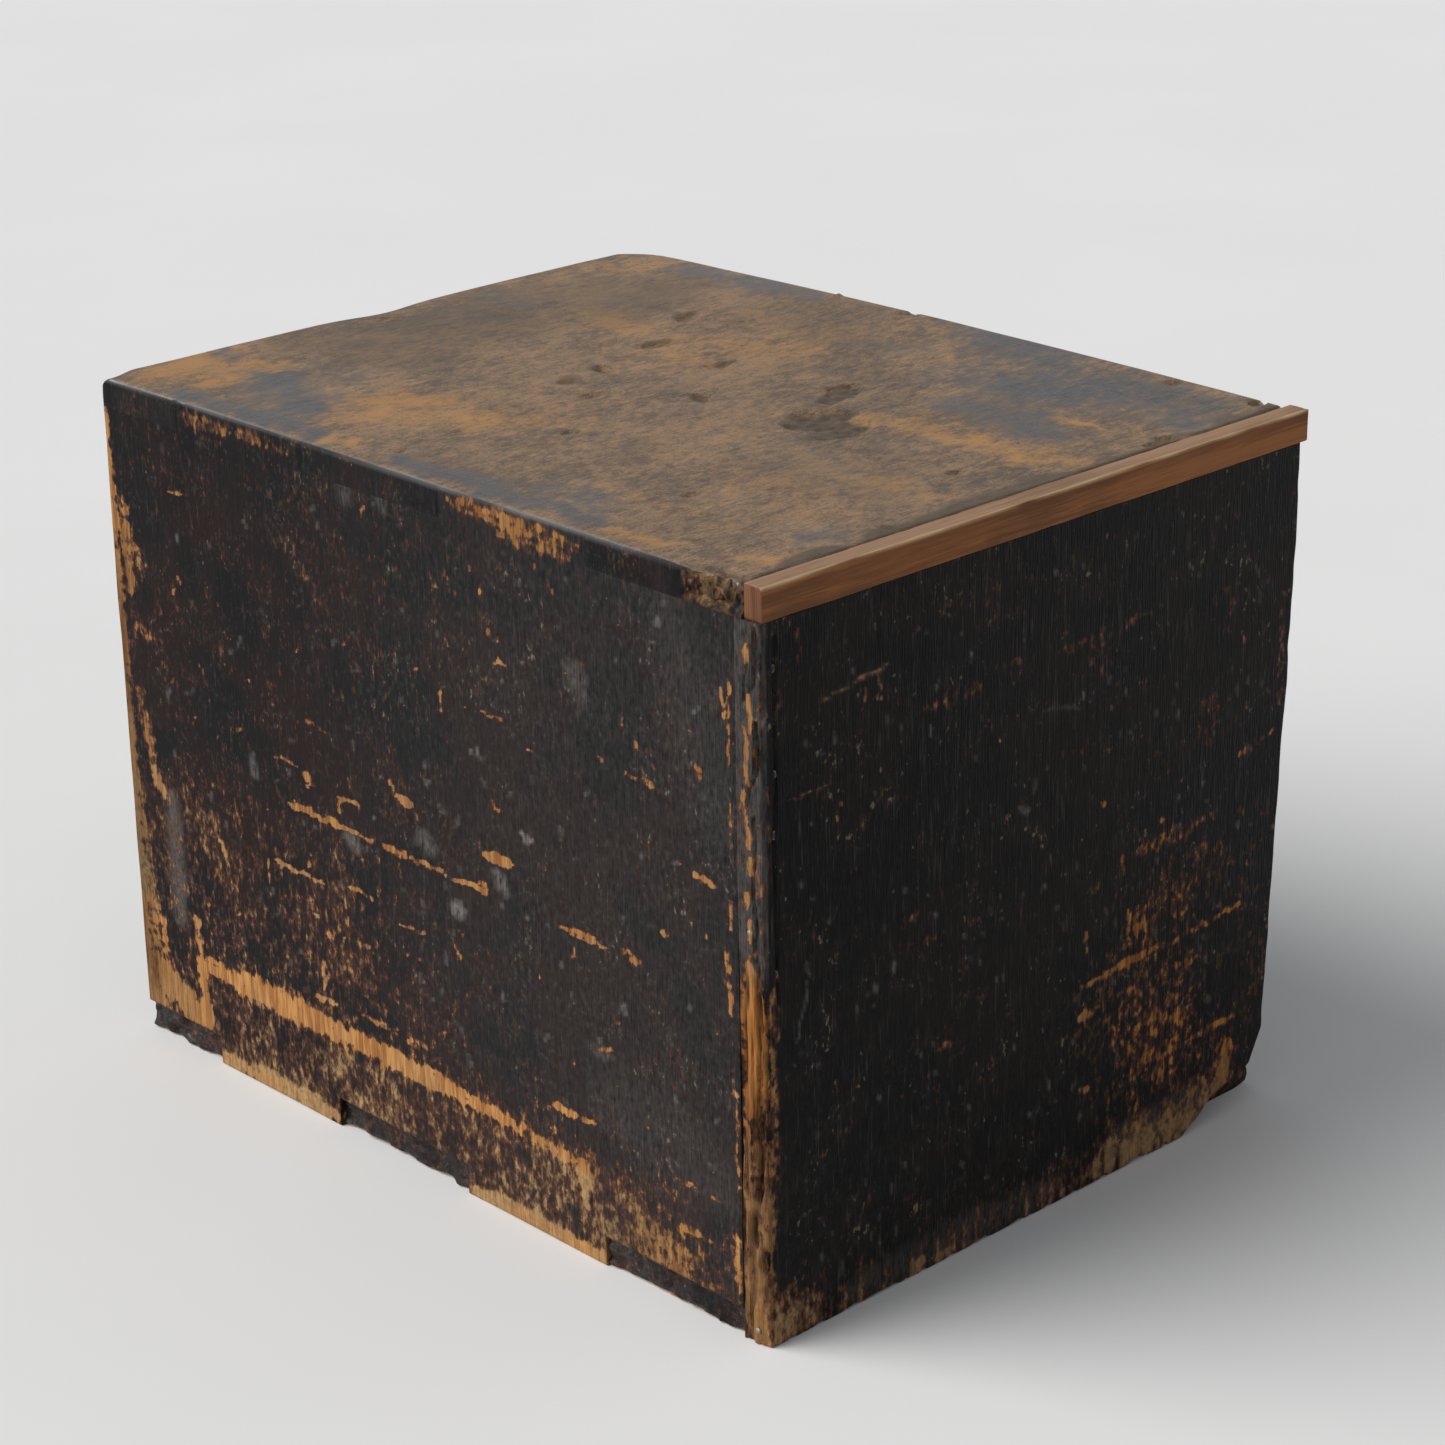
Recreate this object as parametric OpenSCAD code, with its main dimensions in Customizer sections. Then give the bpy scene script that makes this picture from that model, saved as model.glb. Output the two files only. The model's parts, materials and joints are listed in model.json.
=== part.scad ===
// Antique stationery chest.
// Four boards meet in five-part finger joints, a panel is pegged on behind them, and the
// front holds four drawers and a small hinged door with iron ring pulls and a lock.
// Sizes are in millimetres. The front faces -Y, Z is up, and the origin is on the floor
// under the middle of the chest.

/* [Case] */
// Width over the two side boards
case_w = 320; // [280:1:380]
// Height over the top and bottom boards
case_h = 320; // [300:1:360]
// Depth of the side boards, front to back
case_d = 406; // [340:1:460]
// Thickness of the top, bottom and side boards
board_t = 14; // [12:0.5:17]
// Length of the joint finger nearest the front
front_finger = 57; // [40:1:75]
// Length of the joint finger nearest the back
back_finger = 82; // [60:1:100]

/* [Back] */
// Thickness of the back panel
back_t = 14; // [11:0.5:17]
// How far the top board laps over the top end of the back panel
top_lap = 4; // [2:0.5:6]
// How far the cap strip runs past the left side board
strip_overhang = 4; // [1:0.5:8]
// Diameter of the wooden pegs
peg_d = 3.6; // [3:0.2:4.6]
// Distance of the pegs from the outside of the case
peg_inset = 6.5; // [5:0.5:8]
// How deep the pegs go into the board behind the panel
peg_bite = 18; // [12:1:26]
// How far the panel's left edge has worn in at its foot
panel_lean = 10; // [4:1:14]
// Width of the broken lower left corner of the panel
broken_w = 54; // [30:1:70]
// Height of the broken lower left corner of the panel
broken_h = 36; // [24:1:46]

/* [Wear] */
// Rounding of the front and back edges of the top board
top_edge_r = 6; // [3:0.5:9]
// Rounding of the side edges of the top board
top_side_r = 4; // [2:0.5:6]
// Rounding of the upright corners of the case
upright_r = 3; // [1:0.5:4]
// Rounding of the edges at the floor
foot_r = 1.5; // [0.5:0.5:3]
// Length of the eaten patch on the top board's right rear corner
eaten_l = 34; // [20:1:44]
// Depth of the eaten patch
eaten_deep = 4; // [2:0.5:6]

/* [Shelves] */
// Thickness of the shelves and the partition
shelf_t = 10; // [8:0.5:12]
// How deep the shelves are let into the side boards
shelf_housing = 5; // [3:0.5:7]
// How deep the partition and the small shelf are let into their neighbours
partition_housing = 3.5; // [2:0.5:4]
// Clear height for the inkstone drawer at the top
inkstone_bay_h = 62; // [54:1:72]
// Clear height for the paper drawer at the bottom
paper_bay_h = 74; // [62:1:86]
// Clear width of the door compartment
door_bay_w = 168; // [150:1:186]

/* [Drawers] */
// Thickness of the drawer fronts
front_t = 13; // [11:0.5:16]
// Wood left in front of the drawer sides
lip_t = 5; // [4:0.5:7]
// Thickness of the drawer sides and backs
side_t = 8; // [6:0.5:10]
// Thickness of the drawer bottoms
bottom_t = 6; // [4:0.5:8]
// Space between a drawer and the case on each side
drawer_gap = 0.8; // [0.5:0.1:1.5]
// Space over a drawer front
head_gap = 1.2; // [0.8:0.1:2]
// Space under a drawer
sole_gap = 0.3; // [0.3:0.1:0.6]
// How far the drawer fronts stand behind the front of the case
setback = 1; // [0.5:0.5:3]
// Space between a drawer and the back panel
rear_gap = 4; // [2:0.5:10]
// How much lower the drawer sides are than the fronts
side_drop = 2; // [1:0.5:4]
// How much lower the drawer backs are than the sides
back_drop = 4; // [2:0.5:8]

/* [Ring pulls] */
// Radius of a pull ring, to the middle of its wire
ring_r = 12; // [9:0.5:13]
// Diameter of the ring's wire
ring_wire = 3; // [2.4:0.2:3.4]
// Diameter of the staple's wire at its eye
eye_wire = 2.4; // [2:0.2:2.8]
// Play of the ring in the eye, all round
ring_play = 0.9; // [0.7:0.1:1.2]
// Diameter of the staple's shank
shank_d = 2.8; // [2.4:0.2:3.2]
// Length of each staple leg, bent over inside
leg_l = 9; // [6:1:12]
// Thickness of the staple legs
leg_t = 1.2; // [0.8:0.1:1.6]
// Radius of the washer under the staple
washer_r = 8; // [6.5:0.5:10]
// Thickness of the washer
washer_t = 1.2; // [0.8:0.1:1.6]

/* [Door] */
// Space round the door
door_gap = 1; // [0.7:0.1:1.5]
// Thickness of the door
door_t = 13; // [11:0.5:15]
// Height of the battens across the door's ends
batten_h = 18; // [14:1:22]
// Length of the tongues that hold the battens
tongue_l = 6; // [4:0.5:8]
// Width of the stop strip behind the door
stop_w = 10; // [8:1:14]
// Height of the pull over the middle of the door
pull_rise = 36; // [34:0.5:38]

/* [Hinges] */
// Height of a hinge
hinge_h = 30; // [24:1:36]
// Distance from a door end to the middle of a hinge
hinge_inset = 28; // [24:1:32]
// Outer diameter of the hinge barrel
barrel_d = 5.2; // [4.6:0.2:6]
// Diameter of the hinge pin
pin_d = 2.5; // [2:0.1:2.8]
// Length of the hinge leaf on the door
door_leaf_l = 34; // [26:1:44]
// Thickness of the hinge leaves
leaf_plate_t = 1.2; // [0.8:0.1:1.4]

/* [Lock] */
// Radius of the lock plate
lock_plate_r = 18; // [14:0.5:20]
// Thickness of the lock plate
lock_plate_t = 1.4; // [1:0.1:2]
// Length of the lock case
lock_l = 36; // [34:1:42]
// Height of the lock case
lock_h = 26; // [22:1:30]
// Thickness of the lock case
lock_t = 9; // [8:0.5:11]
// Height of the lock bolt
bolt_h = 8; // [6:0.5:10]
// Thickness of the lock bolt
bolt_t = 4; // [3:0.5:5]
// Travel of the lock bolt
bolt_throw = 6; // [4:0.5:7]
// Depth of the lock below the middle of the door
lock_fall = 14; // [12:0.5:16]
// Distance of the keyhole from the free edge of the door
lock_inset = 22; // [20:0.5:23]

/* [Hidden] */
$fn = 64;

// Clearances of the fits
peg_fit = 0.05;
pin_fit = 0.06;
shank_fit = 0.1;
bolt_play = 0.4;
knuckle_gap = 0.4;
seat_gap = 0.3;
past = 1;

// Planes of the case
front_y = -(case_d + back_t) / 2;
joint_y = front_y + case_d;
back_y = joint_y + back_t;
inner_w = case_w - 2 * board_t;
left_in = -inner_w / 2;
right_in = inner_w / 2;
top_under = case_h - board_t;

// Five fingers along each corner: the first, third and fifth belong to the flat boards
mid_finger = (case_d - front_finger - back_finger) / 3;
flat_fingers = [0, 2, 4];
side_fingers = [1, 3];
function finger_y(i) = front_y + (i == 0 ? 0 : front_finger + (i - 1) * mid_finger);
function finger_l(i) = i == 0 ? front_finger : i == 4 ? back_finger : mid_finger;

// Heights of the peg holes along the panel's edges, as parts of its height, and of the
// pegs along its foot, as parts of the inner width
peg_heights = [0.08, 0.31, 0.53, 0.72, 0.8, 0.94];
left_pegs_from = 0.7;
peg_places = [-0.28, 0, 0.28];

// Heights of the shelves
lower_shelf_z = board_t + paper_bay_h;
upper_shelf_z = top_under - inkstone_bay_h - shelf_t;
mid_z = lower_shelf_z + shelf_t;
mid_h = upper_shelf_z - mid_z;
partition_x = left_in + door_bay_w;
small_bay_x = partition_x + shelf_t;
small_bay_w = right_in - small_bay_x;
small_bay_h = (mid_h - shelf_t) / 2;
small_shelf_z = mid_z + small_bay_h;

// Each drawer's bay: left side, underside, clear width and clear height
DRAWERS = ["inkstone_drawer", "brush_drawer", "seal_drawer", "paper_drawer"];
BAYS = [
    [left_in, upper_shelf_z + shelf_t, inner_w, inkstone_bay_h],
    [small_bay_x, small_shelf_z + shelf_t, small_bay_w, small_bay_h],
    [small_bay_x, mid_z, small_bay_w, small_bay_h],
    [left_in, board_t, inner_w, paper_bay_h]
];

// Ring pulls, measured from the face that they are fixed to
eye_r = ring_wire / 2 + ring_play + eye_wire / 2;
eye_out = washer_t + eye_r + eye_wire / 2;
ring_fall = ring_play - seat_gap;
pull_lift = 8;

// Door
door_w = door_bay_w - 2 * door_gap;
door_x = left_in + door_gap;
door_z = mid_z + door_gap;
door_h = mid_h - 2 * door_gap;
door_mid_z = door_z + door_h / 2;
door_back_y = front_y + door_t;
tongue_t = door_t / 3;

// Hinges turn about an upright axis just in front of the gap beside the door
barrel_r = barrel_d / 2;
axis_x = left_in + door_gap / 2;
axis_y = front_y - barrel_r;
hinge_heights = [door_z + door_h - hinge_inset, door_z + hinge_inset];
knuckle_h = (hinge_h - 2 * knuckle_gap) / 3;
leaf_start = barrel_r + knuckle_gap;
case_leaf_l = board_t - 4;
pin_head_h = 1.2;

// Lock
door_edge_x = door_x + door_w;
lock_x = door_edge_x - lock_inset;
lock_z = door_mid_z - lock_fall;
bolt_y = door_back_y + lock_t / 2;
bolt_l = lock_l - bolt_throw - 4;
bolt_rest = 0.5;
keyhole_r = 2.4;
keyhole_slot = [2.2, 8];
talon = [5, 3];

// Door pull, over the lock and clear of its plate
door_pull_x = lock_x;
door_pull_z = door_mid_z + pull_rise;

lacquer = "#2b2728";
bare_wood = "#9c7146";
pale_wood = "#c29b68";
cap_wood = "#8a5a3a";
iron = "#35312f";

// What wear takes off a square corner to leave it rounded
module corner_waste(r) {
    difference() {
        translate([-past, -past]) square(r + past);
        translate([r, r]) circle(r);
    }
}

// A rectangle from the origin with a rounding for each corner, anticlockwise
module worn_rectangle(size, radii) {
    corners = [[0, 0], [size.x, 0], size, [0, size.y]];
    difference() {
        square(size);
        for (i = [0:3]) translate(corners[i]) rotate(90 * i) corner_waste(radii[i]);
    }
}

// The outside of the whole case with its edges worn round
module worn_case() {
    depth = case_d + back_t;
    intersection() {
        translate([-case_w / 2, front_y, -past])
            linear_extrude(case_h + 2 * past)
                worn_rectangle([case_w, depth], [upright_r, upright_r, upright_r, upright_r]);
        translate([-case_w / 2, back_y + past, 0]) rotate([90, 0, 0])
            linear_extrude(depth + 2 * past)
                worn_rectangle([case_w, case_h], [foot_r, foot_r, top_side_r, top_side_r]);
        translate([-case_w / 2 - past, front_y, 0]) rotate([90, 0, 90])
            linear_extrude(case_w + 2 * past)
                worn_rectangle([depth, case_h], [foot_r, foot_r, foot_r, top_edge_r]);
    }
}

// A flat board over the whole width, notched at both ends for the side fingers
module flat_board(z, depth) {
    difference() {
        translate([-case_w / 2, front_y, z]) cube([case_w, depth, board_t]);
        for (i = side_fingers, x = [-case_w / 2 - past, right_in])
            translate([x, finger_y(i), z - past])
                cube([board_t + past, finger_l(i), board_t + 2 * past]);
    }
}

module top_board() {
    scoop_r = 30;
    color(bare_wood) difference() {
        intersection() {
            flat_board(top_under, case_d + top_lap);
            worn_case();
        }
        translate([case_w / 2 + scoop_r - eaten_deep, joint_y + top_lap - eaten_l, case_h - board_t / 3])
            rotate([-90, 0, 0]) cylinder(h = eaten_l + past, r = scoop_r);
    }
}

module bottom_board() {
    color(lacquer) difference() {
        intersection() {
            flat_board(0, case_d);
            worn_case();
        }
        foot_pegs(peg_fit);
    }
}

// A side board, notched at top and bottom for the flat boards' fingers and grooved for shelves
module side_board(inner_x, outward, shelf_heights) {
    outer_x = inner_x + outward * board_t;
    groove_w = shelf_housing + past;
    color(lacquer) difference() {
        intersection() {
            translate([min(inner_x, outer_x), front_y, 0]) cube([board_t, case_d, case_h]);
            worn_case();
        }
        for (i = flat_fingers, z = [-past, top_under])
            translate([min(inner_x, outer_x) - past, finger_y(i) - (i == 0 ? past : 0), z])
                cube([board_t + 2 * past, finger_l(i) + (i == 2 ? 0 : past), board_t + past]);
        for (z = shelf_heights)
            translate([inner_x + (outward > 0 ? -past : -shelf_housing), front_y - past, z])
                cube([groove_w, case_d + 2 * past, shelf_t]);
        edge_pegs(outward, peg_fit);
    }
}

module right_side_board() {
    side_board(right_in, 1, [lower_shelf_z, upper_shelf_z, small_shelf_z]);
}

module left_side_board() {
    side_board(left_in, -1, [lower_shelf_z, upper_shelf_z]);
}

// One peg along Y, flush with the back of the panel
module peg(x, z, fit) {
    translate([x, back_y, z]) rotate([90, 0, 0])
        cylinder(h = back_t + peg_bite + (fit > 0 ? past : 0), r = peg_d / 2 + fit);
}

// The pegs up one edge of the panel: on the left the lower ones have gone with the worn edge
module edge_pegs(outward, fit) {
    lowest = outward > 0 ? 0 : left_pegs_from;
    for (part = peg_heights) if (part > lowest)
        peg(outward * (case_w / 2 - peg_inset), part * top_under, fit);
}

// The pegs along the foot of the panel
module foot_pegs(fit) {
    for (part = peg_places) peg(part * inner_w, board_t / 2, fit);
}

// Seen from behind, the panel's left edge leans in and its lower left corner is broken off
module panel_outline() {
    left = -case_w / 2;
    lean_from = top_under * 0.88;
    polygon([
        [case_w / 2, 0],
        [case_w / 2, top_under],
        [left, top_under],
        [left, lean_from],
        [left + panel_lean, broken_h],
        [left + panel_lean + broken_w * 0.15, broken_h * 0.55],
        [left + panel_lean + broken_w * 0.65, broken_h * 0.38],
        [left + panel_lean + broken_w, 0]
    ]);
}

module back_panel() {
    color(lacquer) difference() {
        intersection() {
            translate([0, back_y, 0]) rotate([90, 0, 0]) linear_extrude(back_t) panel_outline();
            worn_case();
        }
        for (outward = [-1, 1]) edge_pegs(outward, peg_fit);
        foot_pegs(peg_fit);
    }
}

module cap_strip() {
    edge_r = 1.2;
    depth = back_t - top_lap;
    color(cap_wood) translate([-case_w / 2 - strip_overhang, joint_y + top_lap, top_under])
        rotate([90, 0, 90]) linear_extrude(case_w + strip_overhang - upright_r / 2)
            worn_rectangle([depth, board_t], [edge_r / 2, edge_r / 2, edge_r, edge_r]);
}

module back_pegs() {
    color(bare_wood) {
        for (outward = [-1, 1]) edge_pegs(outward, 0);
        foot_pegs(0);
    }
}

// A shelf over the whole inner width, let into both side boards
module wide_shelf(z, groove_z) {
    color(pale_wood) difference() {
        translate([left_in - shelf_housing, front_y, z])
            cube([inner_w + 2 * shelf_housing, case_d, shelf_t]);
        translate([partition_x, front_y - past, groove_z])
            cube([shelf_t, case_d + 2 * past, partition_housing + past]);
    }
}

module upper_shelf() {
    wide_shelf(upper_shelf_z, upper_shelf_z - past);
}

module lower_shelf() {
    wide_shelf(lower_shelf_z, mid_z - partition_housing);
}

// The partition is let into both shelves, grooved for the small shelf and mortised for the bolt
module partition() {
    mortise = [bolt_throw - door_gap + past, bolt_t + 2 * bolt_play, bolt_h + 2 * bolt_play];
    color(pale_wood) difference() {
        translate([partition_x, front_y, mid_z - partition_housing])
            cube([shelf_t, case_d, mid_h + 2 * partition_housing]);
        translate([small_bay_x - partition_housing, front_y - past, small_shelf_z])
            cube([partition_housing + past, case_d + 2 * past, shelf_t]);
        translate([partition_x - past, bolt_y - mortise.y / 2, lock_z - mortise.z / 2])
            cube([mortise.x + past, mortise.y, mortise.z]);
    }
}

module small_shelf() {
    color(pale_wood) translate([small_bay_x - partition_housing, front_y, small_shelf_z])
        cube([small_bay_w + partition_housing + shelf_housing, case_d, shelf_t]);
}

// A strip under the upper shelf that the closed door rests against
module door_stop() {
    stop_l = door_bay_w / 2;
    color(pale_wood) translate([left_in + stop_w * 2, door_back_y + seat_gap, upper_shelf_z - stop_w])
        cube([stop_l, stop_w, stop_w]);
}

// The keyhole's outline, upright in the plane of the door and cut along Y
module keyhole(depth, spare) {
    translate([lock_x, front_y + depth, lock_z]) rotate([90, 0, 0])
        linear_extrude(depth + lock_plate_t + past) {
            circle(keyhole_r + spare);
            translate([-keyhole_slot.x / 2 - spare, -keyhole_slot.y - spare])
                square([keyhole_slot.x + 2 * spare, keyhole_slot.y]);
        }
}

module door_panel() {
    color(lacquer) difference() {
        translate([door_x, front_y, door_z + batten_h])
            cube([door_w, door_t, door_h - 2 * batten_h]);
        keyhole(door_t + past, 1);
        pull_hole(door_pull_x, front_y, door_pull_z, door_t);
    }
    for (z = [door_z + batten_h - tongue_l, door_z + door_h - batten_h])
        color(lacquer) translate([door_x, front_y + tongue_t, z]) cube([door_w, tongue_t, tongue_l]);
}

// A batten across one end of the door, grooved for the panel's tongue
module door_batten(z, groove_z) {
    color(lacquer) difference() {
        translate([door_x, front_y, z]) cube([door_w, door_t, batten_h]);
        translate([door_x - past, front_y + tongue_t, groove_z])
            cube([door_w + 2 * past, tongue_t, tongue_l + past]);
    }
}

module door_top_batten() {
    door_batten(door_z + door_h - batten_h, door_z + door_h - batten_h - past);
}

module door_bottom_batten() {
    door_batten(door_z, door_z + batten_h - tongue_l);
}

// A hinge leaf: a plate on the front with knuckles round the axis. The door leaf has the
// middle knuckle and a round end, and the case leaf has the outer two knuckles.
module hinge_leaf(z, outward, length, knuckles) {
    step = knuckle_h + knuckle_gap;
    color(iron) translate([axis_x, axis_y, z - hinge_h / 2]) difference() {
        union() {
            translate([0, barrel_r, 0]) rotate([90, 0, 0]) linear_extrude(leaf_plate_t)
                leaf_outline(outward, length);
            for (k = knuckles) translate([0, 0, k * step]) {
                cylinder(h = knuckle_h, r = barrel_r);
                translate([outward > 0 ? 0 : -leaf_start - past, barrel_r - leaf_plate_t, 0])
                    cube([leaf_start + past, leaf_plate_t, knuckle_h]);
            }
        }
        translate([0, 0, -past]) cylinder(h = hinge_h + 2 * past, r = pin_d / 2 + pin_fit);
    }
}

// The flat of a hinge leaf, with a round end where it is long enough for one
module leaf_outline(outward, length) {
    end_r = hinge_h / 2;
    straight = length > 2 * end_r ? length - end_r : length;
    scale([outward, 1]) {
        translate([leaf_start, 0]) square([straight - leaf_start, hinge_h]);
        if (straight < length) translate([straight, end_r]) circle(end_r);
    }
}

module upper_hinge_case_leaf() {
    hinge_leaf(hinge_heights[0], -1, case_leaf_l, [0, 2]);
}

module lower_hinge_case_leaf() {
    hinge_leaf(hinge_heights[1], -1, case_leaf_l, [0, 2]);
}

module upper_hinge_door_leaf() {
    hinge_leaf(hinge_heights[0], 1, door_leaf_l, [1]);
}

module lower_hinge_door_leaf() {
    hinge_leaf(hinge_heights[1], 1, door_leaf_l, [1]);
}

module hinge_pin(z) {
    color(iron) translate([axis_x, axis_y, z - hinge_h / 2]) {
        cylinder(h = hinge_h, r = pin_d / 2);
        translate([0, 0, hinge_h]) cylinder(h = pin_head_h, r1 = barrel_r * 0.9, r2 = barrel_r * 0.6);
        translate([0, 0, -pin_head_h]) cylinder(h = pin_head_h, r1 = barrel_r * 0.6, r2 = barrel_r * 0.9);
    }
}

module upper_hinge_pin() {
    hinge_pin(hinge_heights[0]);
}

module lower_hinge_pin() {
    hinge_pin(hinge_heights[1]);
}

module lock_plate() {
    bevel = lock_plate_t / 2;
    color(iron) difference() {
        translate([lock_x, front_y, lock_z]) rotate([90, 0, 0]) {
            cylinder(h = lock_plate_t - bevel, r = lock_plate_r);
            translate([0, 0, lock_plate_t - bevel])
                cylinder(h = bevel, r1 = lock_plate_r, r2 = lock_plate_r - bevel);
        }
        keyhole(door_t, 0);
    }
}

// A closed iron case behind the door, with a channel for the bolt and a way in for the key
module lock_case() {
    channel = [lock_l - 3, bolt_t + 2 * bolt_play, bolt_h + 2 * bolt_play];
    key_way = lock_t / 2 + past;
    color(iron) difference() {
        translate([door_edge_x - lock_l, door_back_y, lock_z - lock_h / 2])
            cube([lock_l, lock_t, lock_h]);
        translate([door_edge_x - channel.x, bolt_y - channel.y / 2, lock_z - channel.z / 2])
            cube([channel.x + past, channel.y, channel.z]);
        keyhole(door_t + key_way, 0);
    }
}

module lock_bolt() {
    end_x = door_edge_x - bolt_rest;
    color(iron) difference() {
        translate([end_x - bolt_l, bolt_y - bolt_t / 2, lock_z - bolt_h / 2])
            cube([bolt_l, bolt_t, bolt_h]);
        translate([lock_x - talon.x / 2, bolt_y - bolt_t, lock_z - bolt_h / 2 - past])
            cube([talon.x, 2 * bolt_t, talon.y + past]);
    }
}

// The hole that a pull's shank goes through
module pull_hole(x, face_y, z, depth) {
    translate([x, face_y - past, z]) rotate([-90, 0, 0])
        cylinder(h = depth + 2 * past, r = shank_d / 2 + shank_fit);
}

// A low domed washer on the face
module pull_washer(x, face_y, z) {
    rim_t = washer_t / 2;
    color(iron) translate([x, face_y, z]) rotate([90, 0, 0]) rotate_extrude() polygon([
        [shank_d / 2 + shank_fit, 0],
        [washer_r, 0],
        [washer_r, rim_t],
        [washer_r * 0.6, washer_t],
        [shank_d / 2 + shank_fit, washer_t]
    ]);
}

// A split staple: its eye holds the ring, and its legs are bent over behind the board
module pull_staple(x, face_y, z, through) {
    color(iron) translate([x, face_y, z]) {
        translate([0, -eye_out, 0]) rotate([0, 90, 0]) rotate_extrude()
            translate([eye_r, 0]) circle(eye_wire / 2);
        translate([0, eye_r - eye_out, 0]) rotate([-90, 0, 0])
            cylinder(h = through + eye_out - eye_r + leg_t / 2, r = shank_d / 2);
        translate([-leg_l, through, -shank_d / 2]) cube([2 * leg_l, leg_t, shank_d]);
    }
}

// A ring that hangs from the eye
module pull_ring(x, face_y, z) {
    color(iron) translate([x, face_y - eye_out, z - ring_fall - ring_r]) rotate([90, 0, 0])
        rotate_extrude() translate([ring_r, 0]) circle(ring_wire / 2);
}

module door_pull_washer() {
    pull_washer(door_pull_x, front_y, door_pull_z);
}

module door_pull_staple() {
    pull_staple(door_pull_x, front_y, door_pull_z, door_t);
}

module door_pull_ring() {
    pull_ring(door_pull_x, front_y, door_pull_z);
}

// A drawer's outside, within its bay
function drawer_x(bay) = bay[0] + drawer_gap;
function drawer_y() = front_y + setback;
function drawer_z(bay) = bay[1] + sole_gap;
function drawer_w(bay) = bay[2] - 2 * drawer_gap;
function drawer_l() = case_d - setback - rear_gap;
function drawer_h(bay) = bay[3] - sole_gap - head_gap;
function wall_h(bay) = drawer_h(bay) - bottom_t - side_drop;
function pull_x(bay) = bay[0] + bay[2] / 2;
function pull_z(bay) = bay[1] + bay[3] / 2 + pull_lift;

// A front with its ends and foot rebated for the sides and the bottom
module drawer_front(bay) {
    rebate_y = drawer_y() + lip_t;
    rebate_l = front_t - lip_t + past;
    right_x = drawer_x(bay) + drawer_w(bay);
    color(lacquer) difference() {
        translate([drawer_x(bay), drawer_y(), drawer_z(bay)])
            cube([drawer_w(bay), front_t, drawer_h(bay)]);
        for (x = [drawer_x(bay) - past, right_x - side_t])
            translate([x, rebate_y, drawer_z(bay) - past])
                cube([side_t + past, rebate_l, drawer_h(bay) + 2 * past]);
        translate([drawer_x(bay) - past, rebate_y, drawer_z(bay) - past])
            cube([drawer_w(bay) + 2 * past, rebate_l, bottom_t + past]);
        pull_hole(pull_x(bay), drawer_y(), pull_z(bay), front_t);
    }
}

// A side, held in the rebate of the front
module drawer_side(bay, x) {
    color(pale_wood) translate([x, drawer_y() + lip_t, drawer_z(bay) + bottom_t])
        cube([side_t, drawer_l() - lip_t, wall_h(bay)]);
}

module drawer_left_side(bay) {
    drawer_side(bay, drawer_x(bay));
}

module drawer_right_side(bay) {
    drawer_side(bay, drawer_x(bay) + drawer_w(bay) - side_t);
}

module drawer_back(bay) {
    color(pale_wood)
        translate([drawer_x(bay) + side_t, drawer_y() + drawer_l() - side_t, drawer_z(bay) + bottom_t])
            cube([drawer_w(bay) - 2 * side_t, side_t, wall_h(bay) - back_drop]);
}

// A bottom under the sides and the back, held in the rebate of the front
module drawer_bottom(bay) {
    color(pale_wood) translate([drawer_x(bay), drawer_y() + lip_t, drawer_z(bay)])
        cube([drawer_w(bay), drawer_l() - lip_t, bottom_t]);
}

module drawer_pull_washer(bay) {
    pull_washer(pull_x(bay), drawer_y(), pull_z(bay));
}

module drawer_pull_staple(bay) {
    pull_staple(pull_x(bay), drawer_y(), pull_z(bay), front_t);
}

module drawer_pull_ring(bay) {
    pull_ring(pull_x(bay), drawer_y(), pull_z(bay));
}

top_board();
bottom_board();
right_side_board();
left_side_board();
back_panel();
cap_strip();
back_pegs();
upper_shelf();
lower_shelf();
partition();
small_shelf();
door_stop();
door_panel();
door_top_batten();
door_bottom_batten();
upper_hinge_case_leaf();
lower_hinge_case_leaf();
upper_hinge_door_leaf();
lower_hinge_door_leaf();
upper_hinge_pin();
lower_hinge_pin();
lock_plate();
lock_case();
lock_bolt();
door_pull_washer();
door_pull_staple();
door_pull_ring();
for (d = [0:len(DRAWERS) - 1]) {
    drawer_front(BAYS[d]);
    drawer_left_side(BAYS[d]);
    drawer_right_side(BAYS[d]);
    drawer_back(BAYS[d]);
    drawer_bottom(BAYS[d]);
    drawer_pull_washer(BAYS[d]);
    drawer_pull_staple(BAYS[d]);
    drawer_pull_ring(BAYS[d]);
}
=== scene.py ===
import json
import math

import bmesh
import bpy
import numpy as np
from mathutils import Matrix, Vector


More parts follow.
